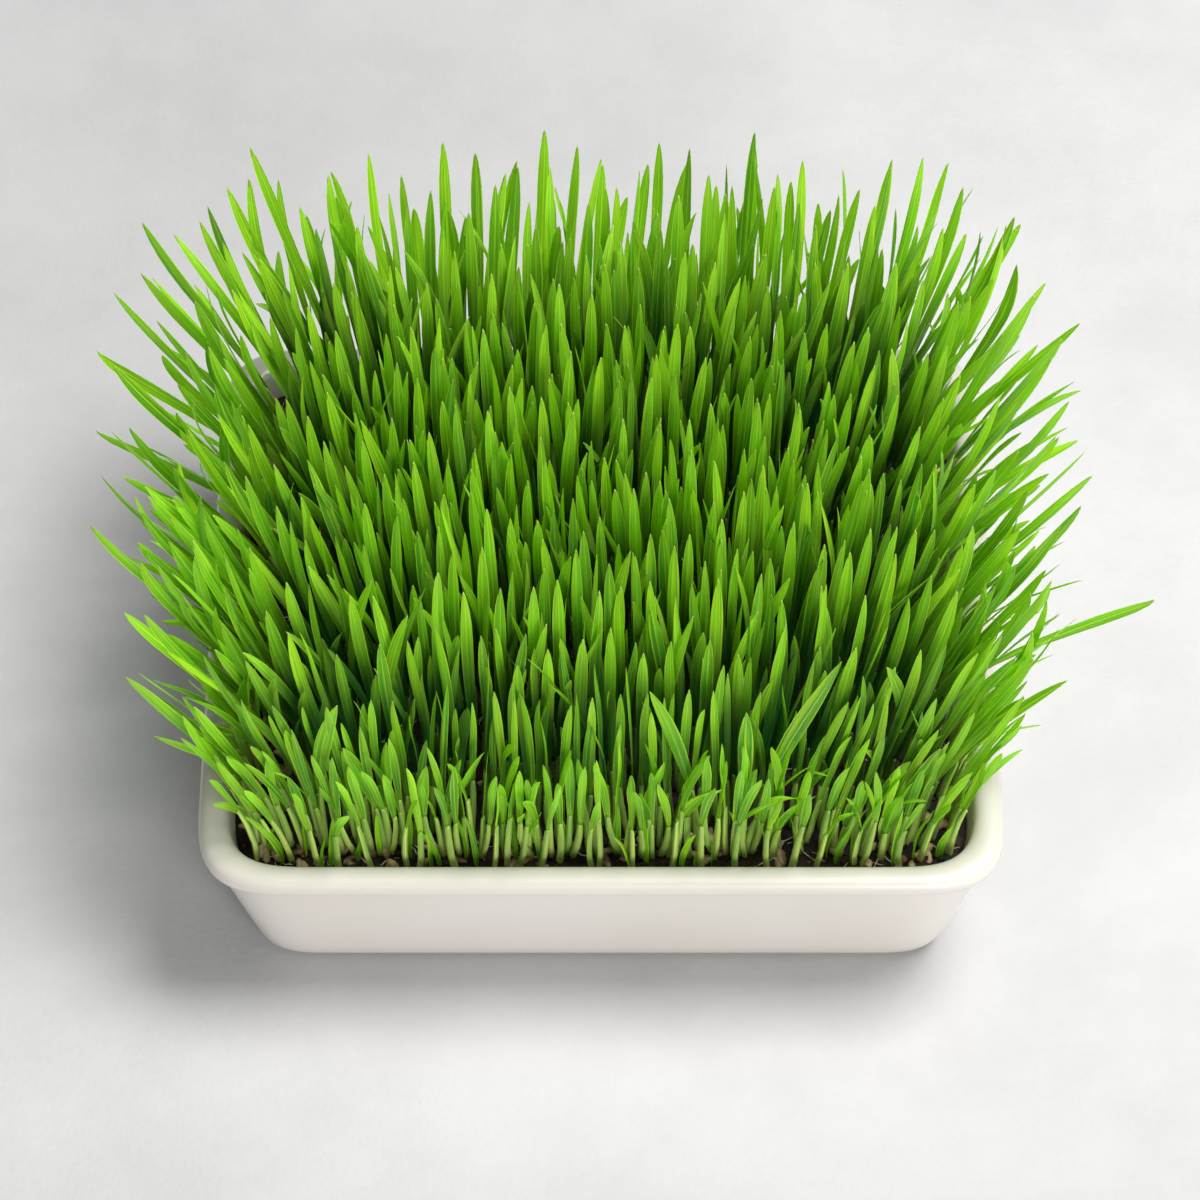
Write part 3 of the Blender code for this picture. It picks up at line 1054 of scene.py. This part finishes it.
    @staticmethod
    def _frames(path: np.ndarray, turn: float, twist: float) -> tuple[np.ndarray, np.ndarray]:
        """Across and facing directions along a path.

        Args:
            path: Its points.
            turn: The angle that the blade's width starts at, about the vertical.
            twist: How much further it has turned at the tip.

        Returns:
            Both directions at each point.
        """
        ahead = np.gradient(path, axis=0)
        ahead /= np.linalg.norm(ahead, axis=1, keepdims=True)
        length = np.concatenate([[0], np.cumsum(np.linalg.norm(np.diff(path, axis=0), axis=1))])
        angle = turn + twist * (length / length[-1]) ** 1.4
        width = np.stack([np.cos(angle), np.sin(angle), np.zeros(len(path))], 1)
        width -= ahead * (width * ahead).sum(1, keepdims=True)
        width /= np.linalg.norm(width, axis=1, keepdims=True)
        return width, np.cross(ahead, width)

    def add_blade(self, bm: bmesh.types.BMesh, shoot: Shoot, leaf: Leaf) -> None:
        """Adds one blade.

        Args:
            bm: The clump's bmesh.
            shoot: The stem that it grows from.
            leaf: Its shape.
        """
        shares = self.BLADE_LEVELS
        path = np.array([shoot.point(leaf.start + (leaf.tip - leaf.start) * share) for share in shares])
        path[:, 0] += leaf.spread[0] * shares**self.SPREAD_POWER
        path[:, 1] += leaf.spread[1] * shares**self.SPREAD_POWER
        path[:, 2] -= leaf.droop * shares**self.DROOP_POWER
        width, facing = self._frames(path, leaf.turn, leaf.twist)
        path += facing * (np.sin(shares * 7 + leaf.ripple * 9) * leaf.ripple * 0.9 * MM * shares)[:, None]
        half = np.array([leaf.width_at(share) for share in shares]) / 2
        half[-1] = 0
        fold = leaf.fold * (1 - 0.55 * shares) + 0.9 * np.clip(0.2 - shares, 0, 1) * 5 * 0.35
        level = self.blade["level"]
        section = np.array(self.SECTION)[self.blade["corner"]]
        thick = self.BLADE_THICKNESS * (1 - 0.6 * shares) * np.minimum(1, (1 - shares) * 8)
        side = section[:, 0] * half[level]
        lift = np.abs(side) * fold[level] - np.minimum(half[level], 1) * 0.35 * fold[level]
        lift = lift + section[:, 1] * thick[level] * (1 - 0.45 * np.abs(section[:, 0])) * 0.5
        points = path[level] + width[level] * side[:, None] + facing[level] * lift[:, None]
        self._append(bm, self.blade, points, (section[:, 0] + 1) / 2, shares[level], 0)

    def add_sheath(self, bm: bmesh.types.BMesh, shoot: Shoot, top: float, radius: float) -> None:
        """Adds one sheath, from under the soil to the collar.

        Args:
            bm: The clump's bmesh.
            shoot: The stem that it is.
            top: Height of the collar above the soil.
            radius: Its radius at the soil.
        """
        foot, shares = self.SHEATH_FOOT, self.SHEATH_LEVELS
        path = np.array([shoot.point(foot + (top - foot) * share) for share in shares])
        width, facing = self._frames(path, shoot.turn, 0)
        level = self.sheath["level"]
        angle = self.sheath["corner"] / self.SHEATH_SIDES * math.tau
        girth = radius * np.interp(shares, *self.SHEATH_GIRTH)[level]
        points = (path[level] + width[level] * (np.cos(angle) * girth)[:, None]
                  + facing[level] * (np.sin(angle) * girth * 0.92)[:, None])
        # The collar is cut slantwise, lower where the blade leaves it
        points[:, 2] -= np.where(level == level.max(), (1 + np.sin(angle)) * self.SHEATH_SLANT, 0)
        self._append(bm, self.sheath, points, self.sheath["corner"] / self.SHEATH_SIDES, shares[level], 1)


# Leaves that stand out along the front: root x, y, tip x, y, z, width and droop
STANDOUTS_MM = (
    (49, -93, 74.5, -88, 148, 6.2, 0), (22, -95, 38, -100, 98, 4.6, 3), (55, -95, 68, -98, 91, 5.4, 2),
    (47, -93, 65, -99, 90, 4.4, 13), (77, -94, 84, -97, 93, 5.0, 1), (90, -96, 95, -98, 91, 4.6, 0),
    (94, -90, 107, -90, 105, 4.4, 2), (113, -66, 142, -68, 89, 5.2, 4), (-89, -90, -82, -90, 128, 5.4, 0),
    (-70, -92, -81, -93, 110, 4.2, 1), (-69, -92, -67, -92, 112, 4.4, 0), (-50, -93, -36, -95, 110, 4.6, 1),
    (-109, -89, -124, -92, 79, 4.6, 2), (-58, -95, -55, -96, 104, 4.4, 0), (13, -94, 20, -95, 105, 4.4, 0),
    (31, -92, 15, -90, 136, 4.8, 0), (45, -92, 45, -92, 128, 5.0, 0))


@dataclass
class Bed:
    """The dense bed of shoots: each of the model's shoots leads a small tuft of others."""

    room: Outline
    planting: Planting = field(default_factory=Planting)
    companions: int = 3
    companion_chance: float = 0.74
    young_chance: float = 0.26
    crossing_chance: float = 0.09
    spikes: int = 34
    wall_shoots: int = 44
    blade_width: float = 4.0 * MM
    sheath_radius: float = 1.12 * MM
    # Rows that stand low and open along the front
    front_rows: int = 2
    # How far a companion stands from its leader, in pitches
    companion_gap: tuple[float, float] = (0.36, 0.58)
    wall_heights: tuple[float, float] = (30 * MM, 62 * MM)
    # Depth of the strip along a side wall, and its length in halves of the bed
    wall_strip: float = 4 * MM
    wall_run: float = 1.5
    spike_heights: tuple[float, float] = (15 * MM, 34 * MM)
    spike_widths: tuple[float, float] = (1.8 * MM, 2.7 * MM)
    spike_strip: float = 6 * MM
    lean_rounds: int = 4
    seed: int = 7

    def leaders(self) -> list[tuple[int, Shoot]]:
        """The model's own shoots, as (row, shoot).

        Returns:
            The shoots, row by row from the front.
        """
        plan = self.planting
        draw = random.Random(plan.seed)
        found = []
        for row in range(plan.clump_rows * plan.clump_side):
            for column in range(plan.clump_columns * plan.clump_side):
                stagger = plan.stagger if row % 2 else -plan.stagger
                x = (column + 0.5 + stagger) * plan.pitch_x - plan.length / 2
                x += draw.uniform(-plan.jitter[0], plan.jitter[0])
                y = (row + 0.5) * plan.pitch_y - plan.depth / 2
                y += draw.uniform(-plan.jitter[1], plan.jitter[1])
                x, y = plan.tucked(x, y)
                lean = (draw.uniform(-plan.lean[0], plan.lean[0]), draw.uniform(-plan.lean[1], plan.lean[1]))
                turn = draw.uniform(-0.7, 0.7)
                size = draw.uniform(0.88, 1.08)
                spread = draw.triangular(-1, 1, 0.15)
                taller, reach = plan.strays.get((column, row), (1, 1))
                # A stray that reaches far out shows its broad side
                turn = 0.0 if reach > 1.1 else turn
                share = plan.share_of_height(x, y, row) * (1 + plan.height_spread * spread) * taller
                found.append((row, Shoot(
                    plan, plan.clump_centre(column, row), x, y, lean, turn, size, plan.shoot_height * share,
                    reach, plan.root_gather)))
        return found

    def companion(self, leader: Shoot, row: int, turn: float, draw: random.Random) -> Shoot:
        """One of the shoots that stand round a leading one.

        Args:
            leader: The leading shoot.
            row: Its row.
            turn: Which side of it the companion stands on, as an angle.
            draw: The bed's random source.

        Returns:
            The companion.
        """
        plan = self.planting
        angle = turn + draw.uniform(-0.6, 0.6)
        off = draw.uniform(*self.companion_gap)
        x = leader.x + math.cos(angle) * off * plan.pitch_x
        y = leader.y + math.sin(angle) * off * plan.pitch_y
        x = max(-self.room.half_x, min(self.room.half_x, x))
        y = max(-self.room.half_y, min(self.room.half_y, y))
        x, y = self.room.drawn_in(x, y)
        front = row < self.front_rows
        least, most = (0.75, 1.20) if front else (0.62, 1.07)
        share = plan.share_of_height(x, y, max(row + math.sin(angle) * off, 0))
        share *= draw.triangular(least, most, 0.95)
        # Along an edge the shoots lean and curl inwards
        edge_x, edge_y = (x / self.room.half_x) ** 5, (y / self.room.half_y) ** 5
        most_lean = (7 if front else 11) * MM
        lean = (draw.triangular(-most_lean, most_lean, -0.72 * most_lean * edge_x),
                draw.triangular(-most_lean, most_lean, -0.55 * most_lean * edge_y))
        foot = (draw.uniform(-1.8, 1.8) * MM * (1 - abs(edge_x)) - edge_x * draw.uniform(0, 4) * MM,
                draw.uniform(-1.8, 1.8) * MM * (1 - abs(edge_y)) - edge_y * draw.uniform(0, 3) * MM)
        return Shoot(plan, (x, y), x, y, lean, draw.gauss(0, 0.95), draw.uniform(0.70, 1.06),
                     plan.shoot_height * share, 1.0, 1.0, foot)

    def leaves(self, shoot: Shoot, leading: bool, row: int,
               draw: random.Random) -> tuple[float, list[Leaf]]:
        """The blades of a shoot.

        Args:
            shoot: The shoot.
            leading: Whether it is one of the model's own.
            row: Its row, counted from the front.
            draw: The bed's random source.

        Returns:
            The height of its collar, and its blades.
        """
        front = row < self.front_rows
        lowest, highest = (22, 30) if front else (18, 27)
        collar = min(draw.uniform(lowest, highest) * MM, shoot.height * 0.55)
        loose = 0.45 if leading else 0.6 if front else 1.0
        short = front and draw.random() < 0.25
        kind = Growth.SHORT if short else Growth.LEADING
        wide = 2.2 if draw.random() < self.crossing_chance else 1.0
        spread = (draw.triangular(-9, 9, 0) * loose * wide * MM, draw.triangular(-8, 8, 0) * loose * MM)
        width = self.blade_width * shoot.size * (0.72 if front else 1)
        droop = 0.0 if leading else draw.triangular(0, 8, 0) * MM
        turn = shoot.turn + draw.choice((0, math.pi))
        found = [Leaf(kind, collar - 4 * MM, shoot.height, width, turn, draw.gauss(0, 0.6) * loose,
                      draw.uniform(0.25, 0.85), spread, droop, draw.random())]
        if draw.random() < self.young_chance * (0.5 if front else 1):
            way = draw.uniform(0, math.tau)
            out = draw.uniform(4, 13) * MM
            tip = collar + (shoot.height - collar) * draw.uniform(0.40, 0.84)
            found.append(Leaf(
                Growth.YOUNG, collar - 2 * MM, tip, width * draw.uniform(0.52, 0.82), way + math.pi / 2,
                draw.gauss(0, 0.7), draw.uniform(0.2, 0.6), (math.cos(way) * out, math.sin(way) * out),
                out * draw.uniform(0.0, 0.5), draw.random()))
        return collar, found

    def side_shoots(self, draw: random.Random) -> list[Shoot]:
        """Low shoots that fill the strip along both side walls, out to the front corners.

        Args:
            draw: The bed's random source.

        Returns:
            The shoots.
        """
        plan = self.planting
        found = []
        for side in (-1, 1):
            for index in range(self.wall_shoots):
                share = (index + draw.random()) / self.wall_shoots
                y = (share * self.wall_run - 1) * self.room.half_y
                x = side * (self.room.half_x - draw.uniform(0, self.wall_strip))
                x, y = self.room.drawn_in(x, y)
                height = draw.uniform(*self.wall_heights)
                lean = (side * draw.uniform(-5, 4) * MM, draw.gauss(0, 4) * MM)
                turn, size = draw.gauss(0, 0.9), draw.uniform(0.7, 1.0)
                found.append(Shoot(plan, (x, y), x, y, lean, turn, size, height))
        return found

    def standouts(self, draw: random.Random) -> list[tuple[Shoot, Leaf]]:
        """The single leaves along the front that are seen clearly, each leaning to its own tip.

        Args:
            draw: The bed's random source.

        Returns:
            Each leaf with the shoot that carries it.
        """
        plan = self.planting
        found = []
        for root_x, root_y, tip_x, tip_y, tip_z, width, droop in STANDOUTS_MM:
            height = (tip_z + droop) * MM - plan.soil_top
            x, y = root_x * MM, root_y * MM
            shoot = Shoot(plan, (x, y), x, y, (0.0, 0.0), draw.gauss(0, 0.3), 1.0, height)
            # Each round moves the lean by what the tip still misses
            for _ in range(self.lean_rounds):
                miss = Vector((tip_x * MM, tip_y * MM, 0)) - shoot.point(height)
                shoot.lean = (shoot.lean[0] + miss.x, shoot.lean[1] + miss.y)
            found.append((shoot, Leaf(
                Growth.SHORT, height * 0.36, height, width * MM, shoot.turn, draw.gauss(0, 0.3),
                draw.uniform(0.2, 0.6), (0.0, 0.0), droop * MM, draw.random())))
        return found

    def front_spikes(self, draw: random.Random) -> list[tuple[Shoot, Leaf]]:
        """Short first leaves just out of the soil, along the front of the bed.

        Args:
            draw: The bed's random source.

        Returns:
            Each leaf with its shoot.
        """
        plan = self.planting
        found = []
        for index in range(self.spikes):
            x = ((index + draw.random()) / self.spikes * 2 - 1) * (self.room.half_x - 3 * MM)
            y = -self.room.half_y + draw.uniform(0, self.spike_strip)
            x, y = self.room.drawn_in(x, y)
            height = draw.uniform(*self.spike_heights)
            lean = (draw.gauss(0, 3.5) * MM, draw.uniform(-1, 4) * MM)
            shoot = Shoot(plan, (x, y), x, y, lean, draw.gauss(0, 0.9), 1.0, height)
            found.append((shoot, Leaf(
                Growth.SPIKE, -2 * MM, height, draw.uniform(*self.spike_widths), shoot.turn,
                draw.gauss(0, 0.4), draw.uniform(0.3, 0.7), (0.0, 0.0), 0.0, draw.random())))
        return found

    @staticmethod
    def nearest(clumps: dict[tuple[float, float], bmesh.types.BMesh], shoot: Shoot) -> bmesh.types.BMesh:
        """The clump that stands nearest to a shoot's root."""
        return clumps[min(clumps, key=lambda centre: math.dist(centre, (shoot.x, shoot.y)))]

    def build(self, blade: bpy.types.Material, sheath: bpy.types.Material) -> None:
        """Grows every clump as a piece of its own.

        Args:
            blade: The blades' finish.
            sheath: The sheaths' finish.
        """
        mesher = BladeMesher()
        draw = random.Random(self.seed)
        clumps: dict[tuple[float, float], bmesh.types.BMesh] = {}
        for row, leader in self.leaders():
            if leader.centre not in clumps:
                clumps[leader.centre] = bmesh.new()
            bm = clumps[leader.centre]
            shoots = [leader]
            for index in range(self.companions):
                if row < self.front_rows or draw.random() < self.companion_chance:
                    turn = math.tau * index / self.companions + 0.5
                    shoots.append(self.companion(leader, row, turn, draw))
            for shoot in shoots:
                collar, leaves = self.leaves(shoot, shoot is leader, row, draw)
                mesher.add_sheath(bm, shoot, collar, self.sheath_radius * draw.uniform(0.86, 1.12))
                for leaf in leaves:
                    mesher.add_blade(bm, shoot, leaf)
        grown = self.front_spikes(draw)
        for shoot, leaf in self.standouts(draw):
            mesher.add_sheath(self.nearest(clumps, shoot), shoot, shoot.height * 0.42, self.sheath_radius)
            grown.append((shoot, leaf))
        for shoot in self.side_shoots(draw):
            collar, leaves = self.leaves(shoot, False, 0, draw)
            mesher.add_sheath(self.nearest(clumps, shoot), shoot, collar, self.sheath_radius)
            grown += [(shoot, leaf) for leaf in leaves]
        for shoot, leaf in grown:
            mesher.add_blade(self.nearest(clumps, shoot), shoot, leaf)
        for number, bm in enumerate(clumps.values(), 1):
            name = f"shoots_{number:02d}"
            add_piece(name, mesh_from(bm, name), [blade, sheath], [f"clump_{number:02d}"])


@dataclass
class SoilBed:
    """The compost, with crumbs, sprouted grains and loose roots lying on it."""

    dish: Dish
    top: float = 53.5 * MM
    gap: float = 0.36 * MM
    steps_x: int = 150
    steps_y: int = 130
    foot: float = 8 * MM
    foot_inset: float = 14 * MM
    edge_strip: float = 12 * MM
    # Width, height and noise shift of the lumps in its surface, from large to small
    lumps: tuple = (
        (17 * MM, 1.5 * MM, (0, 0, 0)), (5.5 * MM, 0.9 * MM, (3, 8, 1)), (2.1 * MM, 0.6 * MM, (9, 2, 5)))
    crumbs: int = 2600
    grains: int = 330
    roots: int = 170
    seed: int = 19

    def rise(self, x: float, y: float) -> float:
        """Height of the soil's surface at a place.

        Args:
            x: Its place along the bed.
            y: Its place across the bed.

        Returns:
            The height above the table.
        """
        spot = Vector((x, y, 0))
        height = self.top
        for width, rise, shift in self.lumps:
            height += noise.noise(spot / width + Vector(shift)) * rise
        return height

    def build_bed(self, finish: bpy.types.Material) -> None:
        """Makes the bed itself: a lumpy top over a plain block.

        Args:
            finish: The compost.
        """
        outline = self.dish.soil_outline(self.top, self.gap)
        bm = bmesh.new()
        bmesh.ops.create_grid(bm, x_segments=self.steps_x, y_segments=self.steps_y, size=1)
        for vert in bm.verts:
            x, y = outline.drawn_in(vert.co.x * outline.half_x, vert.co.y * outline.half_y)
            vert.co = (x, y, self.rise(x, y))
        border = [edge for edge in bm.edges if edge.is_boundary]
        made = bmesh.ops.extrude_edge_only(bm, edges=border)["geom"]
        low = [item for item in made if isinstance(item, bmesh.types.BMVert)]
        shrink = 1 - self.foot_inset / outline.half_x
        for vert in low:
            vert.co = (vert.co.x * shrink, vert.co.y * shrink, self.foot)
        bmesh.ops.holes_fill(bm, edges=[edge for edge in bm.edges if edge.is_boundary], sides=0)
        bmesh.ops.recalc_face_normals(bm, faces=bm.faces)
        add_piece("soil_bed", mesh_from(bm, "soil_bed"), [finish], ["soil"])

    def spots(self, draw: random.Random, count: int, edge_share: float,
              margin: float) -> list[tuple[float, float]]:
        """Random places on the bed, many of them along its edge.

        Args:
            draw: The random source.
            count: How many.
            edge_share: Share of them that lie in the strip along the edge.
            margin: How far in from the edge the outermost lie.

        Returns:
            The places.
        """
        outline = self.dish.soil_outline(self.top, self.gap + margin)
        found = []
        while len(found) < count:
            x, y = draw.uniform(-1, 1) * outline.half_x, draw.uniform(-1, 1) * outline.half_y
            if draw.random() < edge_share:
                inward = draw.uniform(0, self.edge_strip)
                if draw.random() < 0.5:
                    x = math.copysign(outline.half_x - inward, x)
                else:
                    y = math.copysign(outline.half_y - inward, y)
            if outline.holds(x, y):
                found.append((x, y))
        return found

    def scatter(self, template: bpy.types.Mesh, places: Iterable[tuple[Vector, Matrix]],
                jag: float) -> bmesh.types.BMesh:
        """Copies a small shape to many places.

        Args:
            template: The shape.
            places: (place, turn and size) of each copy.
            jag: How far its corners stray, as a share of its size.

        Returns:
            All copies in one bmesh.
        """
        bm = bmesh.new()
        base = np.zeros(len(template.vertices) * 3, np.float32)
        template.vertices.foreach_get("co", base)
        base = base.reshape(-1, 3)
        draws = np.random.default_rng(self.seed)
        work = template.copy()
        for place, shape in places:
            jagged = base * (1 + draws.uniform(-jag, jag, (len(base), 1)))
            turned = jagged @ np.array(shape)[:3, :3].T + np.array(place)
            work.vertices.foreach_set("co", turned.astype(np.float32).ravel())
            bm.from_mesh(work)
        return bm

    def build_crumbs(self, finish: bpy.types.Material) -> None:
        """Strews crumbs of compost, most of them along the edge.

        Args:
            finish: The crumbs' finish.
        """
        draw = random.Random(self.seed)
        bm = bmesh.new()
        bmesh.ops.create_icosphere(bm, subdivisions=1, radius=1)
        template = mesh_from(bm, "crumb_template", smooth=False)
        places = []
        for x, y in self.spots(draw, self.crumbs, 0.55, 1.4 * MM):
            size = (0.35 + 1.25 * draw.random() ** 3) * MM
            angle = draw.uniform(0, math.tau)
            axis = Vector((draw.gauss(0, 1), draw.gauss(0, 1), 1)).normalized()
            sides = (size, size * draw.uniform(0.6, 1), size * draw.uniform(0.45, 0.9))
            shape = Matrix.Rotation(angle, 3, axis) @ Matrix.Diagonal(sides)
            places.append((Vector((x, y, self.rise(x, y) + size * 0.35)), shape))
        mesh = mesh_from(self.scatter(template, places, 0.28), "soil_crumbs", smooth=False)
        add_piece("soil_crumbs", mesh, [finish])

    def build_grains(self, finish: bpy.types.Material) -> None:
        """Lays sprouted grains on the soil, half sunk, each with its crease.

        Args:
            finish: The grains' finish.
        """
        draw = random.Random(self.seed + 1)
        bm = bmesh.new()
        bmesh.ops.create_uvsphere(bm, u_segments=8, v_segments=5, radius=1)
        bmesh.ops.rotate(bm, cent=(0, 0, 0), matrix=Matrix.Rotation(math.pi / 2, 3, "Y"), verts=bm.verts)
        for vert in bm.verts:
            blunt = 1 - 0.22 * max(vert.co.x, 0) ** 2
            crease = 1 - 0.42 * math.exp(-((vert.co.y / 0.22) ** 2)) * (vert.co.z > 0)
            across, up = vert.co.y * blunt, vert.co.z * blunt * crease
            vert.co = (vert.co.x * 3.3 * MM, across * 1.65 * MM, up * 1.5 * MM)
        template = mesh_from(bm, "grain_template")
        places = []
        for x, y in self.spots(draw, self.grains, 0.72, 3.4 * MM):
            turn = Matrix.Rotation(draw.uniform(0, math.tau), 3, "Z")
            tilt = Matrix.Rotation(draw.gauss(0, 0.35), 3, "Y")
            roll = Matrix.Rotation(draw.uniform(-2.2, 2.2), 3, "X")
            shape = turn @ tilt @ roll @ Matrix.Scale(draw.uniform(0.82, 1.1), 3)
            places.append((Vector((x, y, self.rise(x, y) + draw.uniform(-0.5, 0.7) * MM)), shape))
        mesh = mesh_from(self.scatter(template, places, 0.03), "wheat_grains")
        add_piece("wheat_grains", mesh, [finish])

    def build_roots(self, finish: bpy.types.Material) -> None:
        """Lays short lengths of loose root over the soil.

        Args:
            finish: The roots' finish.
        """
        draw = random.Random(self.seed + 2)
        bm = bmesh.new()
        for x, y in self.spots(draw, self.roots, 0.7, 2.5 * MM):
            heading = draw.uniform(0, math.tau)
            radius = draw.uniform(0.12, 0.26) * MM
            made = bmesh.ops.create_circle(bm, cap_ends=True, segments=4, radius=radius)
            ring = made["verts"]
            stand = Matrix.Rotation(heading, 3, "Z") @ Matrix.Rotation(math.pi / 2, 3, "Y")
            spot = Vector((x, y, self.rise(x, y) + radius))
            bmesh.ops.transform(bm, matrix=Matrix.Translation(spot) @ stand.to_4x4(), verts=ring)
            face = ring[0].link_faces[0]
            for step in range(draw.randint(5, 9)):
                heading_now = heading + draw.gauss(0, 0.35)
                ahead = Vector((math.cos(heading_now), math.sin(heading_now), 0))
                stride = ahead * draw.uniform(0.8, 1.5) * MM
                new = bmesh.ops.extrude_discrete_faces(bm, faces=[face])["faces"][0]
                middle = spot + stride
                lowest = max(self.rise(middle.x, middle.y) + radius, spot.z - 0.8 * MM)
                middle.z = lowest + draw.uniform(0, 0.5) * MM
                turn = Matrix.Rotation(heading_now - heading, 3, "Z")
                for vert in new.verts:
                    vert.co = middle + turn @ (vert.co - spot)
                spot, heading, face = middle, heading_now, new
        bmesh.ops.recalc_face_normals(bm, faces=bm.faces)
        add_piece("rootlets", mesh_from(bm, "rootlets"), [finish])

    def build(self) -> None:
        """Makes the bed and what lies on it."""
        self.build_bed(SoilFinish().make())
        self.build_crumbs(SoilFinish().make("crumbs", 0.08))
        self.build_grains(GrainFinish().make())
        self.build_roots(RootFinish().make())


@dataclass
class Studio:
    """The pale table, the soft light from the right, and the camera at the photograph's angle."""

    elevation: float = math.radians(52.05)
    distance: float = 1.662
    aim: tuple[float, float, float] = (-0.00035, 0.00183, 0.06396)
    focal_pixels: float = 4998.7
    frame_pixels: float = 1200
    sensor: float = 36.0
    floor_size: float = 6.0
    # Name, place, side, watts and colour of each lamp
    lamps: tuple = (
        ("window", (0.78, 0.12, 1.86), 0.9, 47, (1.0, 0.992, 0.98)),
        ("overhead", (0.2, 0.4, 2.20), 2.0, 9, (1.0, 1.0, 1.0)),
        ("front_fill", (1.2, -3.0, 1.25), 1.6, 84, (1.0, 0.995, 0.99)))
    room_colour: Colour = (0.97, 0.985, 1.0)
    room_light: float = 0.19

    def build_camera(self) -> None:
        """Sets up the camera, looking along +Y and down."""
        lens = bpy.data.cameras.new("camera")
        lens.sensor_width = self.sensor
        lens.lens = self.focal_pixels / self.frame_pixels * self.sensor
        lens.clip_end = 50
        camera = bpy.data.objects.new("camera", lens)
        ahead = Vector((0, math.cos(self.elevation), -math.sin(self.elevation)))
        camera.location = Vector(self.aim) - ahead * self.distance
        camera.rotation_euler = ahead.to_track_quat("-Z", "Y").to_euler()
        bpy.context.scene.collection.objects.link(camera)
        bpy.context.scene.camera = camera

    @staticmethod
    def add_light(name: str, place: Sequence[float], size: float, power: float, colour: Colour) -> None:
        """Adds a square area light aimed at the tray.

        Args:
            name: Its name.
            place: Where it stands.
            size: Its side.
            power: Its power in watts.
            colour: Its colour.
        """
        lamp = bpy.data.lights.new(name, "AREA")
        lamp.size = size
        lamp.energy = power
        lamp.color = colour
        light = bpy.data.objects.new(name, lamp)
        light.location = place
        light.rotation_euler = (Vector((0, 0, 0.05)) - Vector(place)).to_track_quat("-Z", "Y").to_euler()
        bpy.context.scene.collection.objects.link(light)

    def build(self) -> None:
        """Makes the table, the lights, the surrounding light and the camera."""
        bm = bmesh.new()
        bmesh.ops.create_grid(bm, x_segments=1, y_segments=1, size=self.floor_size / 2)
        mesh = mesh_from(bm, "table_top", smooth=False)
        mesh.materials.append(FloorFinish().make())
        table = bpy.data.objects.new("table_top", mesh)
        bpy.context.scene.collection.objects.link(table)
        for lamp in self.lamps:
            self.add_light(*lamp)
        world = bpy.data.worlds.new("soft_room")
        world.use_nodes = True
        background = world.node_tree.nodes["Background"]
        background.inputs["Color"].default_value = (*self.room_colour, 1)
        background.inputs["Strength"].default_value = self.room_light
        bpy.context.scene.world = world
        bpy.context.scene.view_settings.view_transform = "Standard"
        self.build_camera()


def main() -> None:
    """Builds the studio, then the dish, the soil and the grass."""
    logging.basicConfig(level=logging.INFO, format="%(name)s: %(message)s")
    Studio().build()
    dish = Dish()
    dish.build(GlazeFinish().make())
    SoilBed(dish).build()
    bed = Bed(dish.soil_outline(Planting().soil_top, 2.4 * MM))
    bed.build(BLADE_FINISH.make(), SHEATH_FINISH.make())


if __name__ == "__main__":
    main()
